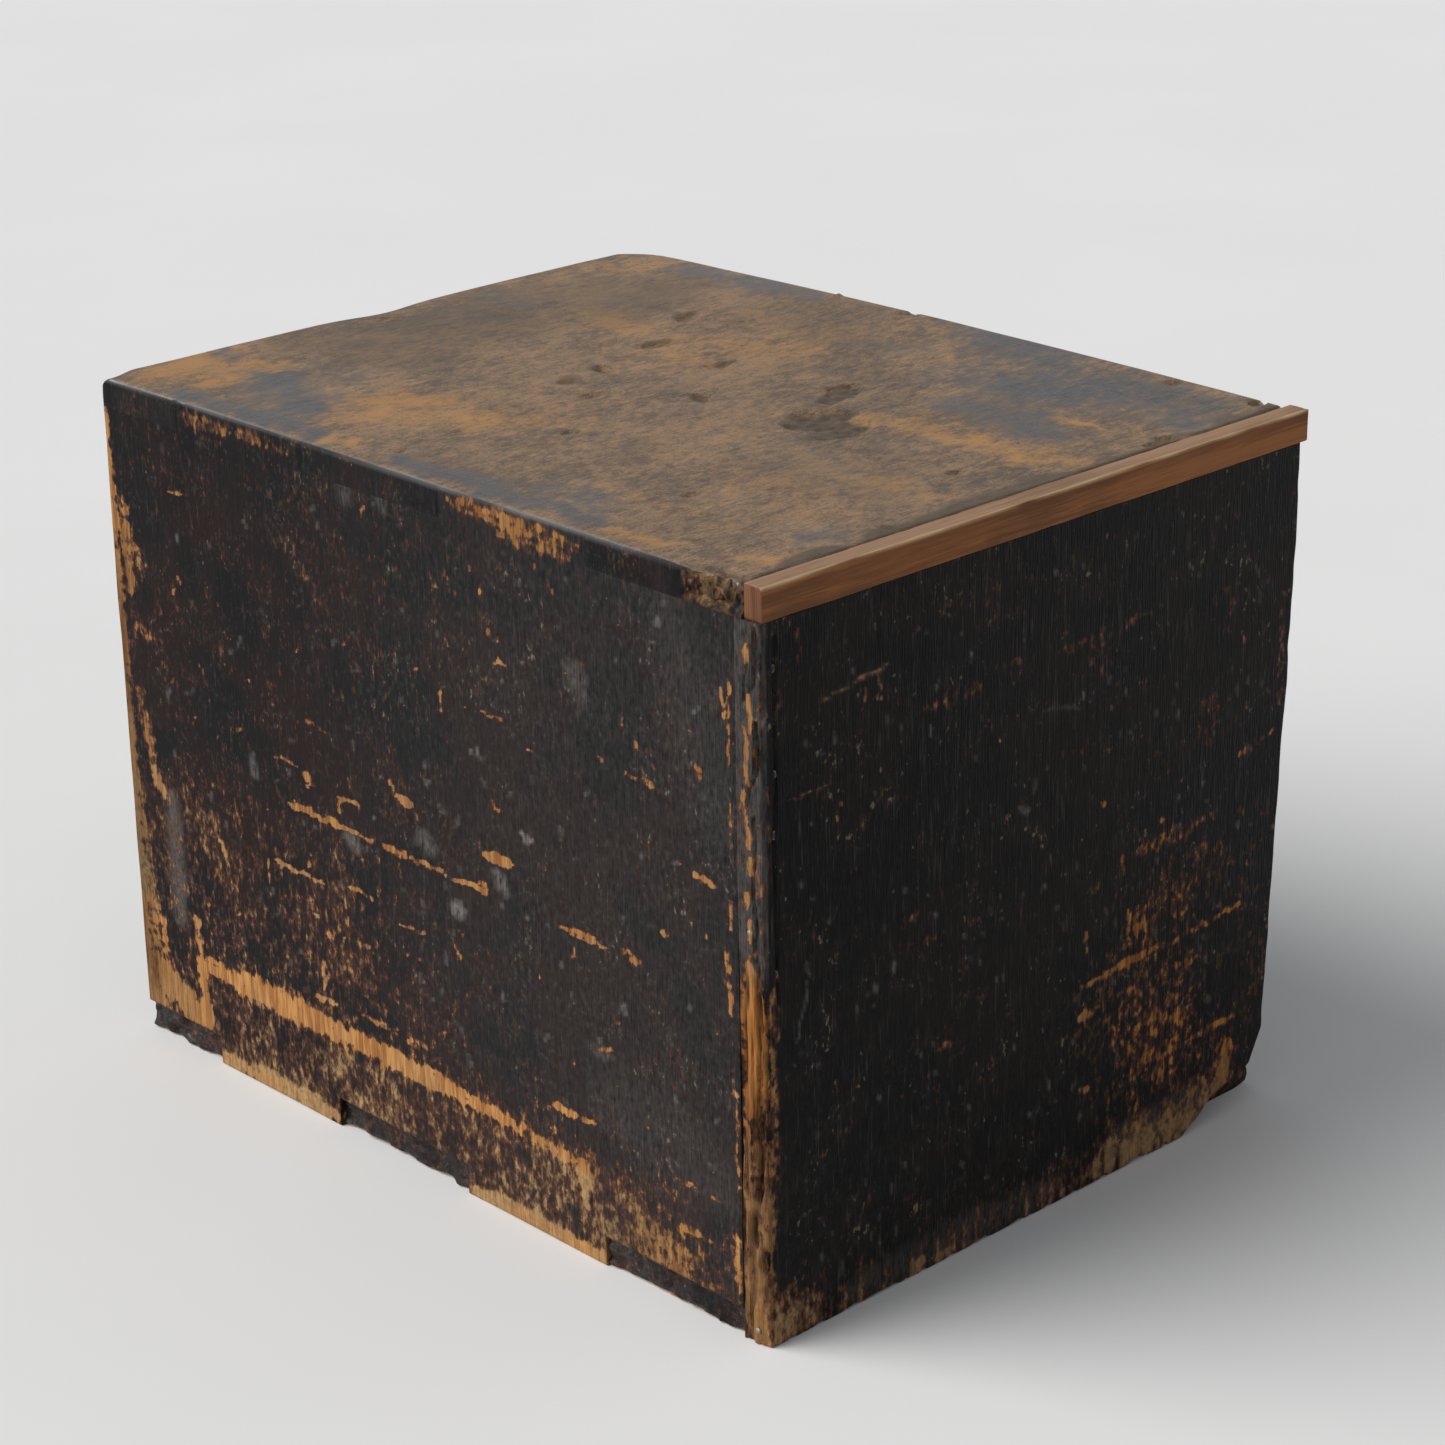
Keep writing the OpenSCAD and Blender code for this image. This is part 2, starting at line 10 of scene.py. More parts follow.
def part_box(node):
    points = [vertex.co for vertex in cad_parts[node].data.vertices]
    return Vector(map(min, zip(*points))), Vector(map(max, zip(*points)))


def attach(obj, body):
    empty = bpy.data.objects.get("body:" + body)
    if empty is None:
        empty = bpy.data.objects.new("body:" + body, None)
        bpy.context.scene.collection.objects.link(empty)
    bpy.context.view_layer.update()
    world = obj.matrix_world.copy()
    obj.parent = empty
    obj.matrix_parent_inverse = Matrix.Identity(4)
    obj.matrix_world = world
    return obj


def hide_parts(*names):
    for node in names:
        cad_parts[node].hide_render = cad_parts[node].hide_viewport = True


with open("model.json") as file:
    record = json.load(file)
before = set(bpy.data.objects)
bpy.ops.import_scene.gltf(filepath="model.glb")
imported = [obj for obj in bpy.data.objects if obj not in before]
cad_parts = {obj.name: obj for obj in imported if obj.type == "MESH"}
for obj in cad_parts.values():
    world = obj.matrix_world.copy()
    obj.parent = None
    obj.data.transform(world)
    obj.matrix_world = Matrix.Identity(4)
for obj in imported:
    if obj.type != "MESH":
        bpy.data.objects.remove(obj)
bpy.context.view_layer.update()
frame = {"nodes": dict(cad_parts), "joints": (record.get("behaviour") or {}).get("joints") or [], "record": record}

# Top board
# A softwood plank with the grain across, finger jointed to the sides and lapped over the back. Its lacquer
# is rubbed down to brown wood, with dents and stains, and a rear corner is worm-eaten.

mm = 0.001


def box_mm(node):
    """A node's lowest and highest corners in mm."""
    return [np.round(np.array(corner) / mm, 3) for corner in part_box(node)]


left_low, left_high = box_mm("left_side_board")
right_low, right_high = box_mm("right_side_board")
panel_low, panel_high = box_mm("back_panel")
top_low, top_high = box_mm("top_board")
case_low = left_low
case_high = np.array([right_high[0], panel_high[1], top_high[2]])
case_front, case_h = case_low[1], case_high[2]
board_t = right_high[0] - right_low[0]
top_under = case_h - board_t
joint_y = right_high[1]
front_finger, mid_finger = 57, 89
finger_ends = case_front + front_finger + mid_finger * np.arange(4)


def on_side_finger(y):
    """Where the side boards, and not the flat ones, reach the corner of the case."""
    first, second, third, fourth = finger_ends
    return ((y > first) & (y < second)) | ((y > third) & (y < fourth))


def lines(stops, step, fine, reach):
    """Grid lines in mm through every stop, step apart, and fine apart within reach of both ends."""
    first, last = min(stops), max(stops)
    stops = sorted({*stops, first + reach, last - reach})
    made = [first]
    for start, end in zip(stops, stops[1:]):
        rim = end <= first + reach or start >= last - reach
        count = max(1, round((end - start) / (fine if rim else step)))
        made.extend(np.linspace(start, end, count + 1)[1:])
    return np.array(made)


def outlines(quads):
    """The border of each patch of quads, as one polygon."""
    edges = np.stack([quads, np.roll(quads, -1, axis=1)], axis=-1).reshape(-1, 2)
    size = edges.max() + 1
    border = edges[~np.isin(edges @ [size, 1], edges @ [1, size])]
    ahead = dict(border.tolist())
    loops = []
    while ahead:
        start, point = ahead.popitem()
        loop = [start]
        while point != start:
            loop.append(point)
            point = ahead.pop(point)
        loops.append(loop)
    return loops


toward_right, toward_left = (0, 1), (0, -1)
toward_back, toward_front = (1, 1), (1, -1)
toward_top, toward_floor = (2, 1), (2, -1)


def skin(grid, wood, plain=None):
    """The outside of a block of cells: points in mm, faces, and the faces that look each way. grid has the
    lines along X, Y and Z, and wood says which cells are filled. A way is an axis and a sign. Faces that
    look the plain way are dead flat, so each patch of them is one polygon."""
    middles = np.meshgrid(*[(line[1:] + line[:-1]) / 2 for line in grid], indexing="ij")
    filled = np.pad(wood(*middles), 1)
    counts = [len(line) for line in grid]
    square = np.array([[0, 0], [1, 0], [1, 1], [0, 1]])
    faces, ways = [], {}
    for axis in range(3):
        for sign in (1, -1):
            open_sides = filled & ~np.roll(filled, -sign, axis)
            cells = np.argwhere(open_sides[1:-1, 1:-1, 1:-1])
            steps = np.zeros((4, 3), int)
            steps[:, axis] = sign > 0
            steps[:, [(axis + 1) % 3, (axis + 2) % 3]] = square[::sign]
            corners = (cells[:, None] + steps).reshape(-1, 3).T
            corners = np.ravel_multi_index(corners, counts).reshape(-1, 4)
            made = outlines(corners) if (axis, sign) == plain else corners.tolist()
            ways[axis, sign] = np.arange(len(faces), len(faces) + len(made))
            faces += made
    used, flat_list = np.unique(np.concatenate(faces), return_inverse=True)
    ends = np.cumsum([len(face) for face in faces])[:-1]
    faces = [part.tolist() for part in np.split(flat_list, ends)]
    place = np.unravel_index(used, counts)
    points = np.stack([line[index] for line, index in zip(grid, place)], axis=1)
    return points, faces, ways


def drift(points, size, seed):
    """A smooth random field from -1 to 1 over points in mm, with size mm between its swells."""
    spread = points / np.array(size)
    cell = np.floor(spread).astype(int)
    part = spread - cell
    part = part * part * (3 - 2 * part)
    cells = 32
    table = np.random.default_rng(seed).uniform(-1, 1, (cells, cells, cells))
    total = np.zeros(len(points))
    for corner in np.ndindex(2, 2, 2):
        weight = np.prod(np.where(corner, part, 1 - part), axis=1)
        at = (cell + corner) % cells
        total += weight * table[at[:, 0], at[:, 1], at[:, 2]]
    return total


def step_up(value, low, high):
    """0 at low, 1 at high and past it, and a smooth step between them."""
    part = np.clip((value - low) / (high - low), 0, 1)
    return part * part * (3 - 2 * part)


def marked(u, v, marks, soft=1.0):
    """How strongly a list of marks reaches each point. A mark runs from (u, v) to (u, v), with a half
    width in mm and a strength from 0 to 1, and fades over the soft share of its half width."""
    reached = np.zeros(len(u))
    for u0, v0, u1, v1, half, strength in marks:
        run_u, run_v = u1 - u0, v1 - v0
        share = ((u - u0) * run_u + (v - v0) * run_v) / max(run_u**2 + run_v**2, 0.01)
        share = np.clip(share, 0, 1)
        away = np.hypot(u - u0 - share * run_u, v - v0 - share * run_v)
        tapered = half * (0.55 + 0.45 * np.sin(math.pi * (0.1 + 0.8 * share)))
        reached = np.maximum(reached, strength * np.clip(0.5 + (1 - away / tapered) / soft, 0, 1))
    return reached


def strayed(points, axes, wander, size, seed):
    """Two coordinates of the points, strayed by up to wander mm so that marks have ragged outlines."""
    return [points[:, axis] + wander * drift(points, size, seed + turn) for turn, axis in enumerate(axes)]


def rounded(points, low, high, radius):
    """Points of a box moved on to the same box with its edges worn to a radius."""
    radius = np.broadcast_to(radius, len(points))[:, None]
    core = np.clip(points, low + radius, high - radius)
    off = points - core
    length = np.linalg.norm(off, axis=1, keepdims=True)
    return np.where(length > radius, core + off * radius / np.maximum(length, 1e-9), points)


def seam(points):
    """1 for points on a joint between the boards of the case, and 0 a little way off it."""
    seam_w = 0.8
    x, y, z = points.T
    corner = (np.abs(x) > right_low[0] - 1) & (y < joint_y + 0.5)
    ended = ((z > top_under) | (z < board_t)) & corner
    finger_gap = np.where(ended, np.abs(y[:, None] - finger_ends).min(axis=1), board_t)
    shoulder_gap = np.minimum(np.abs(z - top_under), np.abs(z - board_t))
    shoulder_gap = np.where(corner & ~on_side_finger(y), shoulder_gap, board_t)
    butt_gap = np.where(on_side_finger(y) & ended, np.abs(np.abs(x) - right_low[0]), board_t)
    back_gap = np.where(z < top_under, np.abs(y - joint_y), board_t)
    gap = np.minimum.reduce([finger_gap, shoulder_gap, butt_gap, back_gap])
    return np.clip(1 - gap / seam_w, 0, 1)


def handled(points):
    """The case's outside after long use: joints opened, faces uneven, edges and corners rubbed round."""
    joint_open, lap_share, swell, swell_mm, swell_deep = 0.26, 0.15, 0.16, 34, 5
    open_seam = seam(points) * joint_open
    moved = points.copy()
    for axis in range(3):
        for plane, inward in ((case_low[axis], 1), (case_high[axis], -1)):
            if axis == 2 and inward > 0:
                continue
            near = np.clip(1 - np.abs(points[:, axis] - plane) / swell_deep, 0, 1)
            opened = open_seam * (lap_share if axis == 2 else 1)
            sunk = swell * (1 + drift(points, swell_mm, 3 + axis)) + opened
            moved[:, axis] += inward * near * sunk
    arris_r, front_top_r, rub_reach = 1.4, 2.6, 60
    forward = step_up(points[:, 1], case_front + rub_reach, case_front)
    front_top = forward * step_up(points[:, 2], case_h - rub_reach, case_h)
    radius = (arris_r + (front_top_r - arris_r) * front_top) * (1 + 0.35 * drift(points, 24, 9))
    moved = rounded(moved, case_low, case_high, radius)
    corner_w, corner_d, corner_foot, corner_top = 20, 34, 70, 8
    off_x = np.clip((case_low[0] + corner_w - moved[:, 0]) / corner_w, 0, None)
    off_y = np.clip((case_front + corner_d - moved[:, 1]) / corner_d, 0, None)
    raised = step_up(points[:, 2], case_h - corner_foot, case_h - corner_top)
    past = np.maximum(np.hypot(off_x, off_y) - 1, 0) * raised
    moved[:, 0] += past * corner_w * off_x
    moved[:, 1] += past * corner_d * off_y
    front_roll, right_roll = 3, 6
    roll = front_roll + right_roll * step_up(points[:, 0], right_low[0] - 4, case_high[0] - 2)
    off_y = np.clip((case_front + roll - moved[:, 1]) / roll, 0, None)
    off_z = np.clip((moved[:, 2] - case_h + roll) / roll, 0, None)
    short = roll * (1 - 1 / np.maximum(np.hypot(off_y, off_z), 1))
    moved[:, 1] += short * off_y
    moved[:, 2] -= short * off_z
    crown_mm, crown_half, crown_from, crown_full = 2.4, 205, -40, -150
    arched = np.clip(1 - (points[:, 1] / crown_half) ** 2, 0, 1)
    crown = crown_mm * arched * step_up(points[:, 0], crown_from, crown_full)
    moved[:, 2] += crown * step_up(points[:, 2], top_under, case_h)
    return moved


def tint(red, green, blue):
    """A colour as it looks on a screen, 0 to 255, in the linear light that shaders work in."""
    shares = [channel / 255 for channel in (red, green, blue)]
    return tuple(s / 12.92 if s < 0.04 else ((s + 0.055) / 1.055) ** 2.4 for s in shares) + (1.0,)


class Field:
    """An output in a node tree. Sums of fields add the Math nodes that work them out."""

    def __init__(self, tree, socket=None):
        self.tree = tree
        self.socket = socket

    def node(self, kind, settings=None, sockets=None, out=0):
        """One output of a new node, given its settings first and then its sockets' values or links."""
        made = self.tree.nodes.new(kind)
        for key, value in (settings or {}).items():
            setattr(made, key, value)
        for key, value in (sockets or {}).items():
            if isinstance(value, Field):
                self.tree.links.new(value.socket, made.inputs[key])
            else:
                made.inputs[key].default_value = value
        return Field(self.tree, made.outputs[out])

    def math(self, operation, *values):
        return self.node("ShaderNodeMath", {"operation": operation}, dict(enumerate(values)))

    def __add__(self, other):
        return self.math("ADD", self, other)

    def __sub__(self, other):
        return self.math("SUBTRACT", self, other)

    def __rsub__(self, other):
        return self.math("SUBTRACT", other, self)

    def __mul__(self, other):
        return self.math("MULTIPLY", self, other)

    __radd__ = __add__
    __rmul__ = __mul__

    def rise(self, low, high):
        """0 below low, 1 above high and a smooth step between them."""
        ends = {"Value": self, "From Min": low, "From Max": high}
        return self.node("ShaderNodeMapRange", {"interpolation_type": "SMOOTHSTEP"}, ends)

    def between(self, start, end):
        """The colour start where this field is 0, and end where it is 1."""
        return self.node("ShaderNodeMix", {"data_type": "RGBA"}, {0: self, 6: start, 7: end}, out=2)

    def noise(self, size, detail=2.0, rough=0.55):
        """Noise on this place, with about size mm between its swells."""
        values = {"Vector": self, "Scale": 1 / (size * mm), "Detail": detail, "Roughness": rough}
        return self.node("ShaderNodeTexNoise", None, values)

    def drawn_out(self, axis, share, shift=0.0):
        """This place with its noise drawn out along one axis, as wood grain is."""
        scale = [1.0, 1.0, 1.0]
        scale[axis] = share
        return self.node("ShaderNodeMapping", None, {"Vector": self, "Scale": scale, "Location": [shift] * 3})

    def attribute(self, name):
        return self.node("ShaderNodeAttribute", {"attribute_name": name}, out=2)

    def to(self, shader, socket):
        self.tree.links.new(self.socket, shader.inputs[socket])


def new_finish(name):
    """A new material, the place on the piece that its nodes start from, and its surface shader."""
    material = bpy.data.materials.new(name)
    material.use_nodes = True
    place = Field(material.node_tree).node("ShaderNodeTexCoord", out=3)
    return material, place, material.node_tree.nodes["Principled BSDF"]


def relief(height, shader, depth):
    """Bumps of a height field, depth mm high."""
    bump = height.node("ShaderNodeBump", None, {"Height": height, "Strength": 1.0, "Distance": depth * mm})
    bump.to(shader, "Normal")


def polish(shader, shine):
    """The shine of old lacquer, and of the coat where hands have polished it."""
    for socket, value in (("Specular IOR Level", shine), ("Coat Roughness", 0.2), ("Coat IOR", 2.1)):
        shader.inputs[socket].default_value = value


def worn_lacquer(name, grain, film, wood, weathered, dust, shine=0.13, ridges=0.25):
    """Thin old lacquer on a red-brown ground, worn through to the wood in flecks along the grain. film and
    wood are pairs of tones. The attribute bare says how much has gone, pale how weathered the wood under it
    is, haze how grey the film is, from bloom and dust and, where it rises on the sides' rear and the panel's
    near edge, from a painted sheen of reflected light, grime how much dirt lies on it and gloss how far it is
    polished."""
    material, place, shader = new_finish(name)
    fine = place.drawn_out(grain, 0.06).noise(0.75, 3)
    streak = place.drawn_out(grain, 0.09).noise(2.6, 3)
    fleck = place.drawn_out(grain, 0.6).noise(2.6, 4, 0.55)
    tick = place.drawn_out(grain, 0.7, 3.1).noise(2.2, 4, 0.62)
    scuff = place.drawn_out(grain, 0.6, 5.3).noise(2.4, 3)
    patch = place.noise(17, 3)
    cloud = place.noise(48, 3)
    loss = place.attribute("bare") + (streak - 0.5) * 0.3 + (fleck - 0.5) * 1.5 + (patch - 0.5) * 0.5
    loss = loss + (fine - 0.5) * 0.24
    gone = loss.rise(0.39, 0.64 + place.attribute("pale") * 0.16)
    thin = loss.rise(0.2, 0.46)
    black = (cloud + (patch - 0.5) * 0.4).rise(0.38, 0.62).between(*film)
    black = (fine.rise(0.5, 0.72) * streak.rise(0.4, 0.7) * ridges).between(black, dust)
    black = ((tick + (patch - 0.5) * 0.3).rise(0.54, 0.8) * 0.38).between(black, dust)
    black = ((scuff + (patch - 0.5) * 0.5).rise(0.67, 0.79) * 0.6).between(black, tint(128, 118, 98))
    # The film is greyed by the haze attribute: bloom and dust, and in places a painted sheen put in as colour.
    haze_and_sheen_share = place.attribute("haze_and_sheen") * (tick + scuff + fine).rise(0.9, 1.9) * 1.3
    black = haze_and_sheen_share.between(black, tint(119, 116, 112))
    black = (thin * 0.62).between(black, tint(86, 53, 38))
    grown = streak.rise(0.36, 0.66).between(*wood)
    grown = (place.attribute("pale") * (0.4 + scuff)).between(grown, weathered)
    grown = (place.attribute("pale") * tick.rise(0.42, 0.64) * 0.6).between(grown, tint(90, 76, 58))
    grown = (fine.rise(0.46, 0.7) * 0.5).between(grown, tint(96, 60, 36))
    grime = place.attribute("grime") * (0.55 + scuff * 0.8)
    grown = grime.between(grown, tint(30, 25, 20))
    gone.between(black, grown).to(shader, "Base Color")
    (0.42 + gone * 0.3 + (fine - 0.5) * 0.2 + (cloud - 0.5) * 0.25).to(shader, "Roughness")
    (place.attribute("gloss") * (1 - gone)).to(shader, "Coat Weight")
    relief(fine * ridges + streak * ridges * 0.6 - gone * 0.45, shader, 0.5)
    polish(shader, shine)
    return material


def rubbed_top(name, film, wood, ochre, stain):
    """Wood rubbed bare by hands and things set down on it. film and wood are pairs of tones. The attribute
    bare says where the film has gone, pale where the wood is warmest and grime where it is stained, and
    along the cap strip also where a painted shadow darkens it."""
    material, place, shader = new_finish(name)
    speck = place.noise(1.1, 4, 0.65)
    grit = place.drawn_out(0, 0.6, 1.3).noise(3.4, 4, 0.65)
    fibre = place.drawn_out(0, 0.1).noise(0.9, 3)
    streak = place.drawn_out(0, 0.3).noise(4, 5, 0.65)
    mottle = place.drawn_out(0, 0.75, 2.0).noise(8, 8, 0.72)
    cloud = place.noise(42, 5, 0.62)
    ragged = (mottle - 0.5) * 1.3 + (streak - 0.5) * 0.6 + (grit - 0.5) * 0.8 + (speck - 0.5) * 0.6
    gone = (place.attribute("bare") + ragged).rise(0.02, 0.98)
    warm = (place.attribute("pale") + ragged).rise(0.08, 1.1)
    light = cloud * 0.4 + mottle * 0.3 + grit * 0.3 + (fibre - 0.5) * 0.3 + (speck - 0.5) * 0.5
    tone = light.rise(0.36, 0.64).between(*wood)
    tone = (warm * 0.9).between(tone, ochre)
    black = (mottle + (speck - 0.5) * 0.5).rise(0.34, 0.68).between(*film)
    tone = gone.between(black, tone)
    scored = place.drawn_out(0, 0.02, 4.0).noise(0.6, 1).rise(0.7, 0.78)
    for degrees, shift in ((28, 1.0), (-70, 2.0)):
        turn = {"Vector": place, "Rotation": (0, 0, math.radians(degrees))}
        turned = place.node("ShaderNodeMapping", None, turn)
        scored = scored + turned.drawn_out(0, 0.03, shift).noise(0.6, 1).rise(0.74, 0.8)
    tone = (scored * 0.4).between(tone, tint(182, 150, 106))
    pits = (place.noise(2.6, 3, 0.6) + (speck - 0.5) * 0.5).rise(0.63, 0.74)
    tone = (pits * 0.6).between(tone, stain)
    (place.attribute("grime") * (0.35 + mottle)).between(tone, stain).to(shader, "Base Color")
    (0.36 + gone * 0.24 + (speck - 0.5) * 0.3).to(shader, "Roughness")
    (place.attribute("gloss") * (1 - gone * 0.6)).to(shader, "Coat Weight")
    relief(fibre * 0.3 + mottle * 0.8 + streak * 0.3 + speck * 0.5 - pits * 0.5 - gone * 0.2, shader, 0.6)
    polish(shader, 0.32)
    return material


def planed_wood(name, grain, light, dark, dirt):
    """Bare planed softwood: fine lines of early and late growth along the grain, and old dirt. The attribute
    worn says where an arris is pale: rubbed wood, with a painted highlight along it."""
    material, place, shader = new_finish(name)
    fine = place.drawn_out(grain, 0.04).noise(0.9, 3)
    bands = place.drawn_out(grain, 0.02).noise(5.5, 2)
    cloud = place.noise(55, 4)
    tone = (bands * 0.6 + fine * 0.4).rise(0.4, 0.62).between(light, dark)
    soiled = cloud + (fine - 0.5) * 0.4 + (bands - 0.5) * 0.4
    tone = (soiled.rise(0.42, 0.74) * 0.6).between(tone, dirt)
    # Where worn is set the wood is paled: rubbed wood and a painted highlight along the arris.
    tone = (place.attribute("worn") * (0.5 + fine)).between(tone, tint(204, 172, 132))
    tone.to(shader, "Base Color")
    (0.62 + fine * 0.25).to(shader, "Roughness")
    relief(fine * 0.6 + bands * 0.4, shader, 0.25)
    shader.inputs["Specular IOR Level"].default_value = 0.25
    return material


def in_scene(name, data):
    """A new object in the scene."""
    made = bpy.data.objects.new(name, data)
    bpy.context.scene.collection.objects.link(made)
    return made


def smooth(mesh, sharp=None):
    """Shades a mesh smooth, apart from edges that turn by more than the sharp angle, in degrees."""
    mesh.polygons.foreach_set("use_smooth", np.ones(len(mesh.polygons), bool))
    if sharp:
        mesh.set_sharp_from_angle(angle=math.radians(sharp))


def piece(name, points, faces, finishes, tones=None, *others):
    """A mesh object from points in mm. Each list of faces in others takes the next of the finishes."""
    mesh = bpy.data.meshes.new(name)
    mesh.from_pydata((points * mm).tolist(), [], faces)
    for key, values in (tones or {}).items():
        mesh.attributes.new(key, "FLOAT", "POINT").data.foreach_set("value", values.astype(np.float32))
    for finish in finishes:
        mesh.materials.append(finish)
    kinds = np.zeros(len(faces), np.int32)
    for number, chosen in enumerate(others):
        kinds[np.array(chosen, int)] = number + 1
    mesh.polygons.foreach_set("material_index", kinds)
    smooth(mesh, 42)
    return in_scene(name, mesh)


def fit(made, body, slot, *nodes):
    """Hangs a piece on its body, in place of the nodes that it stands for, if there are any."""
    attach(made, body)
    if nodes:
        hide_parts(*nodes)


def flat_wood(x, y, z):
    """A flat board's cells: the notches for the side fingers are left out."""
    return ~(on_side_finger(y) & (np.abs(x) > right_low[0]))


lacquer_film = tint(13, 13, 14), tint(29, 18, 17)
orange_wood = tint(150, 98, 54), tint(192, 140, 84)
grey_wood = tint(172, 142, 100)
dust = tint(84, 80, 77)
cross_lacquer = worn_lacquer("cross_lacquer", 0, lacquer_film, orange_wood, grey_wood, dust)
upright_lacquer = worn_lacquer("upright_lacquer", 2, lacquer_film, orange_wood, grey_wood, dust, 0.07)
inner_light, inner_dark, inner_dirt = tint(164, 124, 82), tint(130, 92, 57), tint(84, 61, 42)
cross_wood = planed_wood("cross_inner_wood", 0, inner_light, inner_dark, inner_dirt)
top_film = tint(33, 29, 28), tint(48, 43, 41)
top_wood = tint(71, 58, 46), tint(148, 117, 84)
top_brown = rubbed_top("top_rubbed_wood", top_film, top_wood, tint(168, 122, 68), tint(62, 48, 31))

# Marks on the upper face: X and Y of both ends, half width and strength
film_left = [
    (150, -70, 150, -160, 8, 1), (130, -96, 110, -152, 20, 0.95), (88, -118, 84, -150, 14, 0.5),
    (102, -190, 98, -206, 10, 0.7), (-48, -160, -52, -192, 16, 0.4), (-148, -72, -148, -158, 14, 0.85),
    (148, 108, 148, -14, 9, 1), (126, 60, 136, 96, 14, 0.7), (-150, 30, -140, 100, 24, 0.9),
    (-100, 84, -130, 150, 34, 1), (-70, 100, -62, 150, 20, 0.9), (-140, 170, -110, 184, 18, 0.8),
    (105, 172, 100, 186, 12, 0.6), (-110, 10, -120, 40, 14, 0.5), (30, 14, 12, 22, 10, 0.3),
    (-80, -120, -100, -150, 30, 0.25), (40, -180, -20, -170, 26, 0.25),
]
orange_rubs = [
    (140, -190, 100, -200, 18, 0.9), (134, -166, 96, -172, 15, 0.85), (-125, -190, -148, -175, 12, 0.6),
    (-60, -135, -58, -90, 14, 0.6), (118, -90, 84, -62, 28, 0.75), (-40, -60, -80, -20, 30, 0.5),
    (90, -40, 40, -10, 30, 0.35), (-100, -60, -115, -10, 24, 0.35), (152, -45, 149, -66, 5, 0.9),
    (106, -58, 76, -14, 22, 0.6),
    (-28, 88, -34, 125, 14, 0.6), (-32, 125, -36, 192, 12, 0.7), (36, 140, 32, 185, 9, 0.5),
    (-80, 135, -82, 165, 3, 0.8), (-112, 115, -118, 165, 14, 0.4), (150, 115, 146, 155, 6, 0.8),
    (138, 184, 128, 190, 9, 0.8), (118, 70, 112, 135, 4, 0.5), (-140, 18, -156, 20, 6, 0.7),
    (-142, -4, -155, -10, 6, 0.5), (-143, 68, -150, 68, 3, 0.8), (60, 90, 70, 160, 18, 0.3),
]
dull_rubs_and_strip_shadow = [
    (40, -165, -90, -160, 36, 0.44), (60, 100, 40, 150, 26, 0.15), (-70, -120, -120, -140, 30, 0.44),
    # The two long lines at the back darken the top where it meets the cap strip: grime, and a painted shadow of
    # the gap under the strip.
    (-158, 197, 158, 197, 4, 0.8), (-158, 200, 158, 200, 2.4, 1), (60, -190, 40, -130, 26, 0.32),
    (-140, -80, -105, -10, 28, 0.26), (-70, 112, -64, 152, 22, 0.26),
]
dents = [
    (-4, 70, -18, 72, 15, 1), (0, 88, -14, 87, 12, 1), (-34, 54, -56, 45, 6, 0.9),
    (-52, 44, -48, 44, 5, 0.8), (-4, -57, -2, -52, 5, 0.9), (24, -51, 20, -52, 5, 0.7),
    (-1, 6, 1, 14, 4, 0.8), (-38, -70, -52, -68, 4, 0.7), (-82, -90, -92, -93, 4, 0.7),
    (32, -25, 28, -26, 4, 0.6), (-36, -24, -48, -22, 3, 0.7), (-32, -88, -38, -87, 4, 0.4),
    (78, 8, 74, 8, 2, 0.7), (148, 70, 150, 68, 1.6, 0.9), (142, -22, 140, -22, 2, 0.6),
    (-150, 144, -156, 146, 4, 0.6), (-78, 193, -90, 194, 3, 0.9), (-154, 188, -158, 190, 4, 0.9),
    (75, 190, 74, 202, 2, 0.6), (14, -198, 10, -192, 6, 0.35), (-155, -16, -159, -15, 4, 0.7),
    (2, 165, 6, 163, 2, 0.7), (100, 107, 97, 106, 2, 0.7),
]
eaten_from, eaten_fade = 163, 14


def worm_eaten(points):
    """1 over the worm-eaten rear corner of the top board, and 0 away from it."""
    x, y, z = points.T
    ragged_y = y + 7 * drift(points, (9, 9, 6), 106)
    inward = step_up(x, case_high[0] - 11, case_high[0] - 1)
    return step_up(ragged_y, eaten_from, eaten_from + eaten_fade) * inward


